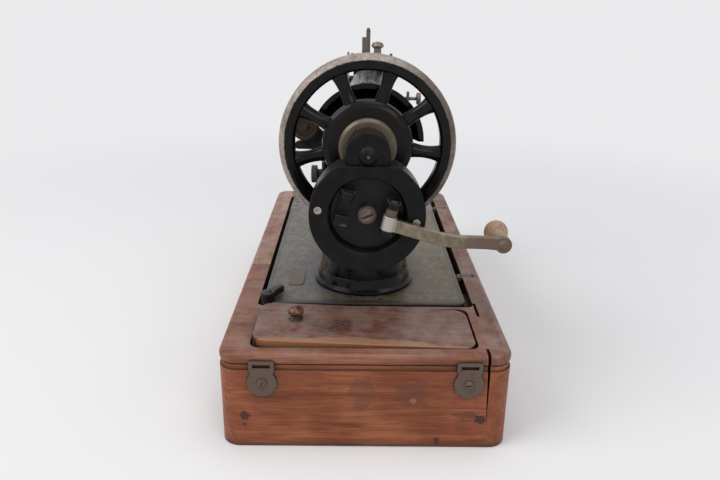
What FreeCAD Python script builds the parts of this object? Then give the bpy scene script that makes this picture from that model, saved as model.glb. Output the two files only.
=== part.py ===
import FreeCAD, Part
import math
import os

V = FreeCAD.Vector

# Hand-crank sewing machine on its wooden base box, millimetres, +Z up.
# +X runs along the length toward the handwheel, -Y is the operator's side.
# The origin is the middle of the box's underside.

# Wooden base box
base_length = 438.0
base_width = 218.0
base_height = 79.0
base_corner = 14.0
side_wall = 12.0
rail_height = 9.0
rail_round = 3.4
groove_height = 4.0
groove_depth = 1.3
bottom_board_height = 5.0
partition_thickness = 8.0
split_gap = 2.6
split_foot_z = 16.0
slot_length = 25.0
slot_width = 2.4
front_seam_inset = 176.0
block_length = 24.0
block_reach = 20.0

# Cast bed in its opening
bed_far_margin = 33.0
near_margin = 11.0
bed_side_margin = 23.0
bed_corner = 8.0
bed_rise = 2.0
bed_depth = 12.0
bed_plate = 5.0
bed_rim = 6.0
front_gap = 4.0
rear_gap = 6.0
near_gap = 1.8
far_gap = 3.5
well_corner = 5.0
pad_length = 40.0
pad_width = 14.0
pad_inset = 18.0

# Accessory lid
lid_width = 65.0
lid_side_margin = 24.5
lid_thickness = 6.0
lid_corner = 11.0
lid_gap = 1.4
lid_recess_corner = 7.0
lid_offset_y = -0.8
cross_lip = 4.4
ledge = 7.0
lid_pin_inset = 6.5
lid_pin_r = 1.2
lid_pin_grip = 3.0
lid_ajar = 2.0
knob_from_front = 30.0
knob_r = 6.3
knob_height = 11.5

# General fits
running = 0.05
part_gap = 0.4

# Bed hinges, placed from the bed's near and far ends
near_hinge_inset = 66.0
far_hinge_inset = 39.0
knuckle_r = 2.2
hinge_pin_r = 1.2
hinge_width = 8.0
leaf_reach = 13.0
leaf_thickness = 2.0
finger_length = 16.0

# Catch plates on the near end, placed from the box's sides
catch_insets = (32.7, 32.4)
catch_disc_r = 11.0
catch_drop = 23.0
catch_top_drop = 5.0
catch_loop_width = 18.7
catch_neck_width = 17.0
catch_thickness = 1.5
catch_screw_r = 3.75

# Latch at the bed's corner
latch_inset = 4.5
latch_front_inset = 4.5
latch_foot_r = 5.8
latch_foot_height = 8.0
latch_length = 15.7
latch_thickness = 5.5
latch_lean = 147.0

# Arm and pillar
pillar_inset = 58.0
column_taper = 10.5
foot_r = 44.5
shaft_rise = 136.5
shaft_r = 6.5
hood_r = 44.5
hood_wall = 4.0
hood_back = 33.5
hood_front = 50.0
stitch_rise = 99.0
rear_cover_rise = 77.0
spool_back = 31.0
spool_r = 1.8
spool_height = 41.0

# Head, its heights measured from the shaft
head_inset = 36.0
head_length = 36.0
head_front_y = -12.0
head_rear_y = 30.0
head_top_rise = 38.5
head_low_drop = 49.5
needle_y = 0.6
needle_r = 0.85
presser_y = 15.4
needle_bar_r = 3.0
needle_bar_rise = 37.0
presser_bar_r = 3.5
foot_top_rise = 15.0
face_screw_y = 9.0
tension_drop = 24.0
face_screw_drop = 76.0
take_up_drop = 22.0
take_up_offset = 14.0
take_up_eye_rise = 26.0
lifter_drop = 52.0
lifter_knob_y = (62.0, 67.0)
lifter_knob_r = 7.0
lifter_knob_rise = 7.6

# Slide plates and needle plate
slide_width = 38.0
slide_thickness = 1.8
slide_ledge = 4.0
plate_half = 16.0
feed_drop = 8.0
shuttle_pivot_offset = 66.0
shuttle_pivot_y = 14.0
feed_stroke = 2.0

# Handwheel, placed from the pillar
wheel_far = 52.0
wheel_width = 18.0
wheel_r = 67.7
rim_inner_r = 55.7
hub_r = 35.0
hub_step_r = 30.0
hub_proud = 0.5
spoke_count = 9
spoke_start = 33.0
clutch_r = 22.0
clutch_width = 7.0

# Hand crank, placed from the pillar and the shaft
crank_drop = 44.5
crank_tilt = 13.0
case_back = 82.0
case_split = 99.0
case_front = 106.0
lobe_front = 102.5
case_r = 43.0
case_flat = 37.0
case_wall = 2.5
lobe_r = 16.3
cap_r = 7.0
cap_height = 5.4
oil_screw_r = 1.3
recess_r = 28.7
recess_round = 1.4
gear_ratio = 3
pinion_teeth = 12
gear_inset = 3.5
gear_width = 6.0
pressure_angle = 25.0
backlash = 0.35
disc_depth = 8.0
disc_thickness = 4.0
spindle_r = 6.0
pinion_shaft_r = 5.0
finger_arc_r = 45.0
finger_r = 3.5
finger_angle = 261.0
flange_foot_rise = 31.0
flange_reach = 48.0
flange_bolt_length = 22.0
cover_screw_angles = (173.0, -7.0)

# Folding arm, its brackets and its handle
fold_u = 15.8
rest_u = -18.0
bracket_half = 5.0
bracket_low = -8.0
bracket_high = 16.5
fold_ear_top = -4.9
rest_ear = (-10.7, -3.2)
rest_ear_reach = 10.2
upper_ear_foot = 12.0
ear_reach = 13.0
arm_pin_r = 2.2
barrel_r = 5.1
barrel_v = (-4.6, 6.1)
pin_collar_r = 4.4
pin_collar_foot = 6.4
stub_r = 3.3
stub_foot = 8.5
screw_boss = 2.0
arm_width = 9.0
arm_thickness = 5.0
arm_reach = 101.6
arm_end_rise = 4.5
handle_length = 35.8
handle_r = 9.2
handle_pin_r = 2.4

# Derived places
half_l = base_length / 2
half_w = base_width / 2
bed_top = base_height + bed_rise
bed_low = bed_top - bed_depth
rail_low = base_height - rail_height
recess_x = (half_l - near_margin - lid_width - 2 * lid_gap, half_l - near_margin)
lid_x = (recess_x[0] + lid_gap, recess_x[1] - lid_gap)
lid_y = (-half_w + lid_side_margin + lid_offset_y, half_w - lid_side_margin + lid_offset_y)
recess_y = (lid_y[0] - lid_gap, lid_y[1] + lid_gap)
bed_x = (-half_l + bed_far_margin, recess_x[0] - cross_lip - near_gap)
bed_y = (-half_w + bed_side_margin, half_w - bed_side_margin)
bed_centre_x = (bed_x[0] + bed_x[1]) / 2
well_x = (bed_x[0] - far_gap, bed_x[1] + near_gap)
well_y = (bed_y[0] - front_gap, bed_y[1] + rear_gap)
front_seam_x = half_l - front_seam_inset
lid_low = base_height - lid_thickness
lid_pin_y = lid_y[1] - lid_pin_inset
lid_pin_z = base_height - lid_thickness / 2
bore_x = (recess_x[0] + ledge, recess_x[1] - ledge)
partition_x = (bore_x[0] - partition_thickness, bore_x[0])
hinge_places = (bed_x[1] - near_hinge_inset, bed_x[0] + far_hinge_inset)
hinge_y = bed_y[1] + rear_gap / 2
hinge_z = base_height - knuckle_r
catch_places = (-half_w + catch_insets[0], half_w - catch_insets[1])
catch_disc_z = base_height - catch_drop
catch_top_z = base_height - catch_top_drop
latch_x = bed_x[1] - latch_inset
latch_y = bed_y[0] + latch_front_inset
pillar_x = bed_x[1] - pillar_inset
column_r = foot_r - column_taper
shaft_z = bed_top + shaft_rise
hood_back_x = pillar_x + hood_back
hood_front_x = pillar_x + hood_front
stitch_z = bed_top + stitch_rise
rear_cover_z = bed_top + rear_cover_rise
spool_x = pillar_x - spool_back
head_x = bed_x[0] + head_inset
head_top_z = shaft_z + head_top_rise
head_low_z = shaft_z - head_low_drop
face_x = head_x - head_length / 2
needle_low_z = bed_top + needle_bar_rise
foot_top_z = bed_top + foot_top_rise
tension_z = head_top_z - tension_drop
face_screw_z = head_top_z - face_screw_drop
take_up_x = head_x + take_up_offset
take_up_z = head_top_z - take_up_drop
lifter_y = head_rear_y + 4
lifter_z = head_top_z - lifter_drop
feed_low = bed_low - feed_drop
slide_x = (head_x - slide_width / 2, head_x + slide_width / 2)
slide_low = bed_top - slide_thickness
wheel_far_x = pillar_x + wheel_far
wheel_near_x = wheel_far_x + wheel_width
hub_near_x = wheel_near_x + hub_proud
clutch_near_x = hub_near_x + clutch_width
spoke_x = (wheel_far_x + wheel_near_x) / 2
crank_z = shaft_z - crank_drop
case_back_x = pillar_x + case_back
case_split_x = pillar_x + case_split
case_front_x = pillar_x + case_front
lobe_front_x = pillar_x + lobe_front
disc_near_x = case_front_x - disc_depth
fold_x = disc_near_x + ear_reach
bracket_foot_z = bed_top + flange_foot_rise
bracket_bolt_z = bracket_foot_z + 8
gear_far_x = case_back_x + gear_inset
gear_module = 2 * crank_drop / (pinion_teeth * (1 + gear_ratio))
gear_r = gear_module * pinion_teeth * gear_ratio / 2
pinion_r = gear_module * pinion_teeth / 2


# Small helpers
def box(x, y, z):
    return Part.makeBox(x[1] - x[0], y[1] - y[0], z[1] - z[0], V(x[0], y[0], z[0]))


def rod(start, direction, radius, length):
    return Part.makeCylinder(radius, length, V(*start), V(*direction))


def rod_x(x, y, z, radius):
    return rod((x[0], y, z), (1, 0, 0), radius, x[1] - x[0])


def rod_y(x, y, z, radius):
    return rod((x, y[0], z), (0, 1, 0), radius, y[1] - y[0])


def rod_z(x, y, z, radius):
    return rod((x, y, z[0]), (0, 0, 1), radius, z[1] - z[0])


def slab(x, y, z, radius):
    body = box(x, y, z)
    upright = [e for e in body.Edges if abs(e.BoundBox.ZLength) > 0.5 * (z[1] - z[0])]
    return body.makeFillet(radius, upright)


def round_at_z(shape, level, radius):
    flat = [e for e in shape.Edges if abs(e.BoundBox.ZMin - level) < 1e-4 and e.BoundBox.ZLength < 1e-4]
    return shape.makeFillet(radius, flat)


def fuse(shapes):
    body = shapes[0]
    for other in shapes[1:]:
        body = body.fuse(other)
    return body.removeSplitter()


def cut(body, tools):
    for tool in tools:
        body = body.cut(tool)
    return body


def turned(points, centre, axis):
    # A profile of (along, radius) pairs turned about an axis line.
    direction = V(*axis)
    side = V(0, 0, 1) if abs(direction.z) < 0.5 else V(1, 0, 0)
    start = V(*centre)
    corners = [start + direction * a + side * r for a, r in points]
    face = Part.Face(Part.makePolygon(corners + [corners[0]]))
    return face.revolve(start, direction, 360)


def turned_curve(points, centre, axis):
    # The same, with the middle points joined by a smooth curve.
    direction = V(*axis)
    side = V(0, 0, 1) if abs(direction.z) < 0.5 else V(1, 0, 0)
    start = V(*centre)
    corners = [start + direction * a + side * r for a, r in points]
    curve = Part.BSplineCurve()
    curve.interpolate(corners)
    low = start + direction * points[0][0]
    high = start + direction * points[-1][0]
    edges = [curve.toShape()]
    if points[-1][1] > 1e-6:
        edges.append(Part.makeLine(corners[-1], high))
    edges.append(Part.makeLine(high, low))
    if points[0][1] > 1e-6:
        edges.append(Part.makeLine(low, corners[0]))
    return Part.Face(Part.Wire(edges)).revolve(start, direction, 360)


def link(start, end, r_start, r_end, direction, thickness):
    # A flat bar with round ends between two points in one plane.
    a = V(*start)
    b = V(*end)
    n = V(*direction)
    along = (b - a).normalize()
    across = n.cross(along)
    lean = math.acos((r_start - r_end) / (b - a).Length) if (b - a).Length > 0 else math.pi / 2
    up = along * math.cos(lean) + across * math.sin(lean)
    down = along * math.cos(lean) - across * math.sin(lean)
    lines = [
        Part.makeLine(a + up * r_start, b + up * r_end),
        Part.Arc(b + up * r_end, b + along * r_end, b + down * r_end).toShape(),
        Part.makeLine(b + down * r_end, a + down * r_start),
        Part.Arc(a + down * r_start, a - along * r_start, a + up * r_start).toShape(),
    ]
    return Part.Face(Part.Wire(lines)).extrude(n * thickness)


def export(name, shapes):
    body = shapes[0] if len(shapes) == 1 else Part.makeCompound(shapes)
    body.exportStep("parts/" + name + ".step")


# Base box
def well_opening():
    return slab(well_x, well_y, (bottom_board_height, base_height + 1), well_corner)


def lid_recess():
    return slab(recess_x, recess_y, (lid_low, base_height + 1), lid_recess_corner)


def compartment_mouth():
    mouth = box(bore_x, (lid_y[0] + ledge, recess_y[1]), (rail_low - 1, base_height + 1))
    tail = slab(recess_x, (lid_pin_y - 12, recess_y[1]), (rail_low - 1, lid_low + 1), lid_recess_corner)
    return fuse([mouth, tail])


def end_split():
    # The joint at the rear of the near end board has opened to a wedge.
    top = V(half_l - side_wall, well_y[1], base_height + 1)
    wide = V(half_l - side_wall, well_y[1] - split_gap, base_height + 1)
    foot = V(half_l - side_wall, well_y[1], split_foot_z)
    face = Part.Face(Part.makePolygon([top, wide, foot, top]))
    return face.extrude(V(side_wall + 5, 0, 0))


def lid_pin_rod(radius):
    x = (lid_x[0] - lid_gap - lid_pin_grip, lid_x[1] + lid_gap + lid_pin_grip)
    return rod_x(x, lid_pin_y, lid_pin_z, radius)


def leaf_plate(x):
    plate = box((x - hinge_width / 2, x + hinge_width / 2), (hinge_y, well_y[1] + leaf_reach),
                (base_height - leaf_thickness, base_height))
    return plate


def hinge_screw(x):
    y = well_y[1] + leaf_reach * 0.3
    head = rod_z(x, y, (base_height - 1, base_height), 2.6)
    shank = rod_z(x, y, (rail_low + 1, base_height - 1), 1.3)
    return fuse([head, shank])


def make_rails():
    board = slab((-half_l, half_l), (-half_w, half_w), (rail_low, base_height), base_corner)
    board = round_at_z(board, base_height, rail_round)
    board = round_at_z(board, rail_low, rail_round)
    cuts = [well_opening(), lid_recess(), compartment_mouth(), end_split(), lid_pin_rod(lid_pin_r + running)]
    slot_x = well_x[1] - slot_length * 0.3
    cuts.append(box((slot_x, slot_x + slot_length), (well_y[1], well_y[1] + slot_width),
                    (rail_low + 3, base_height + 1)))
    for x in hinge_places:
        cuts.append(leaf_plate(x))
        cuts.append(hinge_screw(x))
    board = cut(board, cuts)
    high = (rail_low - 1, base_height + 1)
    middle = (well_y[0], well_y[1])
    front = (-half_w, well_y[0])
    cross_end = bore_x[0]
    near_zone = fuse([box((cross_end, half_l), middle, high), box((front_seam_x, half_l), front, high)])
    export("front_top_rail", [board.common(box((-half_l, front_seam_x), front, high))])
    export("rear_top_rail", [board.common(box((-half_l, half_l), (well_y[1], half_w), high))])
    export("far_top_rail", [board.common(box((-half_l, bed_centre_x), middle, high))])
    export("cross_rail", [board.common(box((bed_centre_x, cross_end), middle, high))])
    export("near_top_rail", [board.common(near_zone)])


def make_side_boards():
    ring = slab((-half_l, half_l), (-half_w, half_w), (0, rail_low), base_corner)
    ring = round_at_z(ring, 0, 1.2)
    inside = slab((-half_l + side_wall, half_l - side_wall), (-half_w + side_wall, half_w - side_wall),
                  (-1, rail_low + 1), base_corner - side_wall + 4)
    groove_z = (rail_low - groove_height, rail_low + 1)
    outer = box((-half_l - 5, half_l + 5), (-half_w - 5, half_w + 5), groove_z)
    core = slab((-half_l + groove_depth, half_l - groove_depth),
                (-half_w + groove_depth, half_w - groove_depth), groove_z, base_corner - groove_depth)
    cuts = [inside, outer.cut(core), end_split()]
    for y in catch_places:
        cuts.append(rod_x((half_l - side_wall + 1, half_l + 1), y, catch_disc_z, 1.6))
    ring = cut(ring, cuts)
    high = (-1, rail_low + 1)
    middle = (well_y[0], well_y[1])
    front = (-half_w, well_y[0])
    corner_x = half_l - base_corner
    near_zone = fuse([box((0, half_l), middle, high), box((corner_x, half_l), front, high)])
    export("front_side_board", [ring.common(box((-half_l, corner_x), front, high))])
    export("rear_side_board", [ring.common(box((-half_l, half_l), (well_y[1], half_w), high))])
    export("far_end_board", [ring.common(box((-half_l, 0), middle, high))])
    export("near_end_board", [ring.common(near_zone)])


def make_inner_boards():
    inner_x = (-half_l + side_wall, half_l - side_wall)
    inner_y = (-half_w + side_wall, half_w - side_wall)
    corner = base_corner - side_wall + 4
    export("bottom_board", [slab(inner_x, inner_y, (0, bottom_board_height), corner)])
    export("partition_board", [box(partition_x, inner_y, (bottom_board_height, rail_low))])
    block_z = (bottom_board_height, min(bed_low, rail_low))
    blocks = []
    for x in (bed_x[0] + 4, bed_x[1] - 46):
        for y in ((inner_y[0], bed_y[0] + block_reach), (bed_y[1] - block_reach, inner_y[1])):
            blocks.append(box((x, x + block_length), y, block_z))
    export("support_blocks", blocks)


def make_catch_plates():
    plates = []
    x = (half_l, half_l + catch_thickness)
    for y in catch_places:
        disc = rod_x(x, y, catch_disc_z, catch_disc_r)
        neck = box(x, (y - catch_neck_width / 2, y + catch_neck_width / 2), (catch_disc_z, catch_top_z - 6))
        loop = box(x, (y - catch_loop_width / 2, y + catch_loop_width / 2), (catch_top_z - 8.5, catch_top_z))
        corners = [e for e in loop.Edges if e.BoundBox.XLength > 1 and e.BoundBox.ZLength < 0.1]
        loop = loop.makeFillet(1.6, corners)
        slot = box((x[0] - 1, x[1] + 1), (y - 6.5, y + 6.5), (catch_top_z - 5.6, catch_top_z - 2.8))
        hole = rod_x((x[0] - 1, x[1] + 1), y, catch_disc_z, 1.6)
        plates.append(cut(fuse([disc, neck, loop]), [slot, hole]))
    export("catch_plates", plates)


def catch_screw(y):
    x = half_l + catch_thickness
    dome = turned([(0, 0), (0, catch_screw_r), (0.7, catch_screw_r * 0.95), (1.5, catch_screw_r * 0.55),
                   (1.8, 0)], (x, y, catch_disc_z), (1, 0, 0))
    lean = 80 if y < 0 else 5
    slot = box((x + 0.9, x + 3), (y - 5, y + 5), (catch_disc_z - 0.5, catch_disc_z + 0.5))
    slot.rotate(V(x, y, catch_disc_z), V(1, 0, 0), lean)
    return cut(fuse([dome, rod_x((x - 10, x), y, catch_disc_z, 1.6)]), [slot])


def make_base_screws():
    export("base_screws", [catch_screw(y) for y in catch_places] + [hinge_screw(x) for x in hinge_places])


def make_hinges():
    leaves = []
    pins = []
    fingers = []
    half = hinge_width / 2
    tongue = hinge_width * 0.17
    for x in hinge_places:
        eye = rod_x((x - half, x + half), hinge_y, hinge_z, knuckle_r)
        slot = box((x - tongue - 0.15, x + tongue + 0.15),
                   (hinge_y - knuckle_r - 1, hinge_y + knuckle_r + part_gap), (hinge_z - 4, base_height + 1))
        hole = rod_z(x, well_y[1] + leaf_reach * 0.76, (base_height - 3, base_height + 1), 1.6)
        pin_hole = rod_x((x - 9, x + 9), hinge_y, hinge_z, hinge_pin_r)
        leaves.append(cut(fuse([leaf_plate(x), eye]), [slot, pin_hole, hinge_screw(x), hole]))
        pins.append(rod_x((x - half, x + half), hinge_y, hinge_z, hinge_pin_r))
        knuckle = rod_x((x - tongue, x + tongue), hinge_y, hinge_z, knuckle_r)
        web = box((x - tongue, x + tongue), (bed_y[1] - 0.5, hinge_y), (hinge_z - 1.6, hinge_z + 1.6))
        finger = rod_y(x, (bed_y[1] - finger_length, bed_y[1]), hinge_z, knuckle_r)
        running_hole = rod_x((x - 9, x + 9), hinge_y, hinge_z, hinge_pin_r + running)
        fingers.append(cut(fuse([knuckle, web, finger]), [running_hole]))
    export("hinge_leaves", leaves)
    export("hinge_pins", pins)
    export("hinge_fingers", fingers)


# Accessory lid, modelled closed and then lifted to its ajar place
def lift_lid(shape):
    shape.rotate(V(0, lid_pin_y, lid_pin_z), V(-1, 0, 0), lid_ajar)
    return shape


def make_lid():
    knob_x = (lid_x[0] + lid_x[1]) / 2 - 5
    knob_y = lid_y[0] + knob_from_front
    board = slab(lid_x, lid_y, (lid_low, base_height), lid_corner)
    board = round_at_z(board, base_height, 0.8)
    peg = rod_z(knob_x, knob_y, (base_height - 4, base_height), 2.6)
    board = cut(board, [lid_pin_rod(lid_pin_r), peg])
    export("compartment_lid", [lift_lid(board)])
    low = base_height
    foot = [(0, 5.4), (1.3, 5.6), (2.4, 4.0), (3.4, 4.1), (5.2, 6.0), (knob_height * 0.6, knob_r)]
    crown = [(knob_height * 0.82, knob_r * 0.78), (knob_height * 0.96, knob_r * 0.36), (knob_height, 0)]
    knob = turned_curve([(a, r) for a, r in foot + crown], (knob_x, knob_y, low), (0, 0, 1))
    export("lid_knob", [lift_lid(fuse([knob, peg]))])
    grip = lid_gap + lid_pin_grip - 0.3
    pins = [
        rod_x((lid_x[0] - grip, lid_x[0] + 8), lid_pin_y, lid_pin_z, lid_pin_r),
        rod_x((lid_x[1] - 8, lid_x[1] + grip), lid_pin_y, lid_pin_z, lid_pin_r),
    ]
    export("lid_pins", pins)


# Bed
def make_bed():
    body = slab(bed_x, bed_y, (bed_low, bed_top), bed_corner)
    body = round_at_z(body, bed_top, 1.4)
    hollow = slab((bed_x[0] + bed_rim, bed_x[1] - bed_rim), (bed_y[0] + bed_rim, bed_y[1] - bed_rim),
                  (bed_low - 1, bed_top - bed_plate), bed_corner - 3)
    body = cut(body, [hollow])
    rib_z = (bed_low + 2, bed_top - 2)
    ribs = [box((bed_centre_x - 60, bed_centre_x - 54), (bed_y[0] + 2, bed_y[1] - 2), rib_z)]
    for y in (-44, 38):
        ribs.append(box((bed_centre_x - 60, bed_x[1] - 2), (y, y + 6), rib_z))
    for x in hinge_places:
        ribs.append(box((x - 6, x + 6), (bed_y[1] - finger_length - 2, bed_y[1] - 1), (bed_low, bed_top - 2)))
    boss_r = 5.0
    ribs.append(rod_z(latch_x - 1, latch_y + 1, (bed_low, bed_top - 2), boss_r))
    pad_x = (pillar_x + 2 - pad_length / 2, pillar_x + 2 + pad_length / 2)
    pad_y = (bed_y[0] + pad_inset, bed_y[0] + pad_inset + pad_width)
    pad = slab(pad_x, pad_y, (bed_top - 1, bed_top + 0.6), 4)
    body = fuse([body] + ribs + [pad])
    cuts = [
        box(slide_x, (bed_y[0] - 1, bed_y[1] + 1), (slide_low, bed_top + 5)),
        box((slide_x[0] + slide_ledge, slide_x[1] - slide_ledge), (bed_y[0] + bed_rim, bed_y[1] - bed_rim),
            (bed_low - 1, bed_top + 1)),
        rod_z(latch_x, latch_y, (bed_low - 1, bed_top + 1), 2.0 + running),
        rod_z(pillar_x, 0, (bed_low - 1, bed_top + 1), 14),
    ]
    for x in hinge_places:
        cuts.append(rod_y(x, (bed_y[1] - finger_length, bed_y[1] + 1), hinge_z, knuckle_r))
    for x, y in bolt_places():
        cuts.append(rod_z(x, y, (bed_low - 1, bed_top + 1), 3.0))
    export("bed", [cut(body, cuts)])


def bolt_places():
    return [(pillar_x, -28.0), (pillar_x, 28.0)]


def make_latch():
    lever_z = bed_top + latch_foot_height - latch_thickness
    foot = rod_z(latch_x, latch_y, (bed_top, bed_top + latch_foot_height), latch_foot_r)
    foot = round_at_z(foot, bed_top + latch_foot_height, 1.2)
    lean = math.radians(latch_lean)
    tip = (latch_x + latch_length * math.cos(lean), latch_y + latch_length * math.sin(lean), lever_z)
    lever = link((latch_x, latch_y, lever_z), tip, 4.6, 3.6, (0, 0, 1), latch_thickness)
    lever = round_at_z(lever, bed_top + latch_foot_height, 1.8)
    stem = rod_z(latch_x, latch_y, (bed_low - 3, bed_top), 2.0)
    hook_tip = (latch_x + 10 * math.cos(lean), latch_y + 10 * math.sin(lean), bed_low - 3)
    hook = link((latch_x, latch_y, bed_low - 3), hook_tip, 3.6, 2.6, (0, 0, 1), 2.5)
    dome = turned([(0, 0), (0, 3.2), (0.6, 3.0), (1.4, 1.8), (1.6, 0)],
                  (latch_x, latch_y, bed_top + latch_foot_height), (0, 0, 1))
    export("latch", [fuse([foot, lever, stem, hook, dome])])


def make_plates():
    y0 = bed_y[0]
    y1 = bed_y[1]
    x = (slide_x[0] + 0.1, slide_x[1] - 0.1)
    z = (slide_low, bed_top)
    grip_front = box((x[0] + 8, x[1] - 8), (y0 + 6, y0 + 8), (bed_top - 0.5, bed_top + 1))
    grip_rear = box((x[0] + 8, x[1] - 8), (y1 - 8, y1 - 6), (bed_top - 0.5, bed_top + 1))
    export("front_slide", [cut(box(x, (y0, -plate_half - 0.2), z), [grip_front])])
    export("rear_slide", [cut(box(x, (plate_half + 0.2, y1), z), [grip_rear])])
    plate = box((slide_x[0], slide_x[1]), (-plate_half, plate_half), z)
    cuts = [rod_z(head_x, needle_y, (z[0] - 1, z[1] + 1), 1.2)]
    for side in (-1, 1):
        cuts.append(box((head_x + side * 5 - 1.7, head_x + side * 5 + 1.7), (-9, 11), (z[0] - 1, z[1] + 1)))
        cuts.append(rod_z(head_x + side * (slide_width / 2 - 2.5), 10, (z[0] - 1, z[1] + 1), 1.6))
    export("needle_plate", [cut(plate, cuts)])


# Shuttle and feed under the bed
def make_underworks():
    dog = [box((head_x - 6.4, head_x + 6.4), (-7, 9), (slide_low - 4, slide_low - 1))]
    for side in (-1, 1):
        x = head_x + side * 5
        dog.append(box((x - 1.4, x + 1.4), (-6, 8), (slide_low - 2, bed_top + 0.2)))
    bar_x = (head_x + 6, bed_centre_x - 60)
    bar_top = bed_top - bed_plate - part_gap
    dog.append(box((bar_x[0] - 4, bar_x[1] - 8), (-3, 5), (bar_top - 4, bar_top)))
    dog.append(box((bar_x[0] - 4, bar_x[0] + 0.4), (-3, 5), (bar_top - 4, slide_low - 2)))
    notch_z = (bed_top - 0.5, bed_top + 1)
    notches = [box((head_x - 8, head_x + 8), (y, y + 0.9), notch_z) for y in (-4.5, -2, 0.5, 3, 5.5)]
    # The needle drops through a slot that allows for the feed's whole travel.
    reach = feed_stroke + 0.3
    slot_r = needle_r + 0.6
    slot_z = (bed_low - 8, bed_top + 1)
    notches.append(box((head_x - slot_r, head_x + slot_r), (needle_y - reach, needle_y + reach), slot_z))
    for y in (needle_y - reach, needle_y + reach):
        notches.append(rod_z(head_x, y, slot_z, slot_r))
    export("feed_dog", [cut(fuse(dog), notches)])
    pivot = (bed_centre_x - shuttle_pivot_offset, shuttle_pivot_y, feed_low)
    swing = link(pivot, (head_x + 2, -30, feed_low), 8, 5, (0, 0, 1), 4)
    carrier = link((head_x - 1, -40, feed_low), (head_x - 1, -22, feed_low), 5.5, 5.5, (0, 0, 1), 11)
    bobbin = link((head_x - 1, -36, feed_low + 8), (head_x - 1, -26, feed_low + 8), 2.6, 3.2, (0, 0, 1), 5)
    pivot_hole = rod_z(pivot[0], pivot[1], (feed_low - 1, feed_low + 9), 3.0 + running)
    export("shuttle_carrier", [cut(fuse([swing, carrier, bobbin]), [pivot_hole])])
    return pivot


# Arm casting
def ellipse_ring(x, y, z, half_width, half_height):
    tall = half_height >= half_width
    major = max(half_width, half_height) + 1e-3
    minor = min(half_width, half_height)
    ring = Part.Ellipse(V(0, 0, 0), major, minor).toShape()
    if tall:
        ring.rotate(V(0, 0, 0), V(0, 0, 1), 90)
    ring.rotate(V(0, 0, 0), V(1, 1, 1), 120)
    ring.translate(V(x, y, z))
    return Part.Wire([ring])


def arm_beam():
    top = head_top_z
    sections = [
        (pillar_x - 2, 0, top - 42, 31, 37),
        (pillar_x - 46, 0, top - 33, 25, 26),
        (pillar_x - 110, 0, top - 30, 20, 22),
        (head_x + 62, 2, top - 29, 19, 21),
        (head_x + 14, 8, top - 27, 20, 23),
    ]
    rings = [ellipse_ring(*s) for s in sections]
    return Part.makeLoft(rings, True)


def pillar():
    foot = turned([(0, 0), (0, foot_r), (2.4, foot_r), (4.6, foot_r - 2.6), (12, foot_r - 4.5), (12, 0)],
                  (pillar_x, 0, bed_top), (0, 0, 1))
    side = [(11, foot_r - 4.6), (40, foot_r - 7.6), (shaft_rise - 38, column_r),
            (shaft_rise, foot_r - 12), (shaft_rise + 24, foot_r - 21), (shaft_rise + 34, 0)]
    column = turned_curve(side, (pillar_x, 0, bed_top), (0, 0, 1))
    return [foot, column]


def hood():
    # The half-round guard behind the wheel, open toward the wheel.
    profile = [(hood_back_x - 10, 10), (hood_back_x - 10, hood_r - 12), (hood_back_x, hood_r - 4),
               (hood_front_x, hood_r), (hood_front_x, hood_r - hood_wall),
               (hood_back_x + 4, hood_r - hood_wall - 5), (hood_back_x + 4, 10)]
    corners = [V(a, r, shaft_z) for a, r in profile]
    face = Part.Face(Part.makePolygon(corners + [corners[0]]))
    shell = face.revolve(V(0, 0, shaft_z), V(1, 0, 0), 152)
    return shell


def winder_stud():
    return (pillar_x + 12, -37.5, shaft_z - 7.5)


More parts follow.
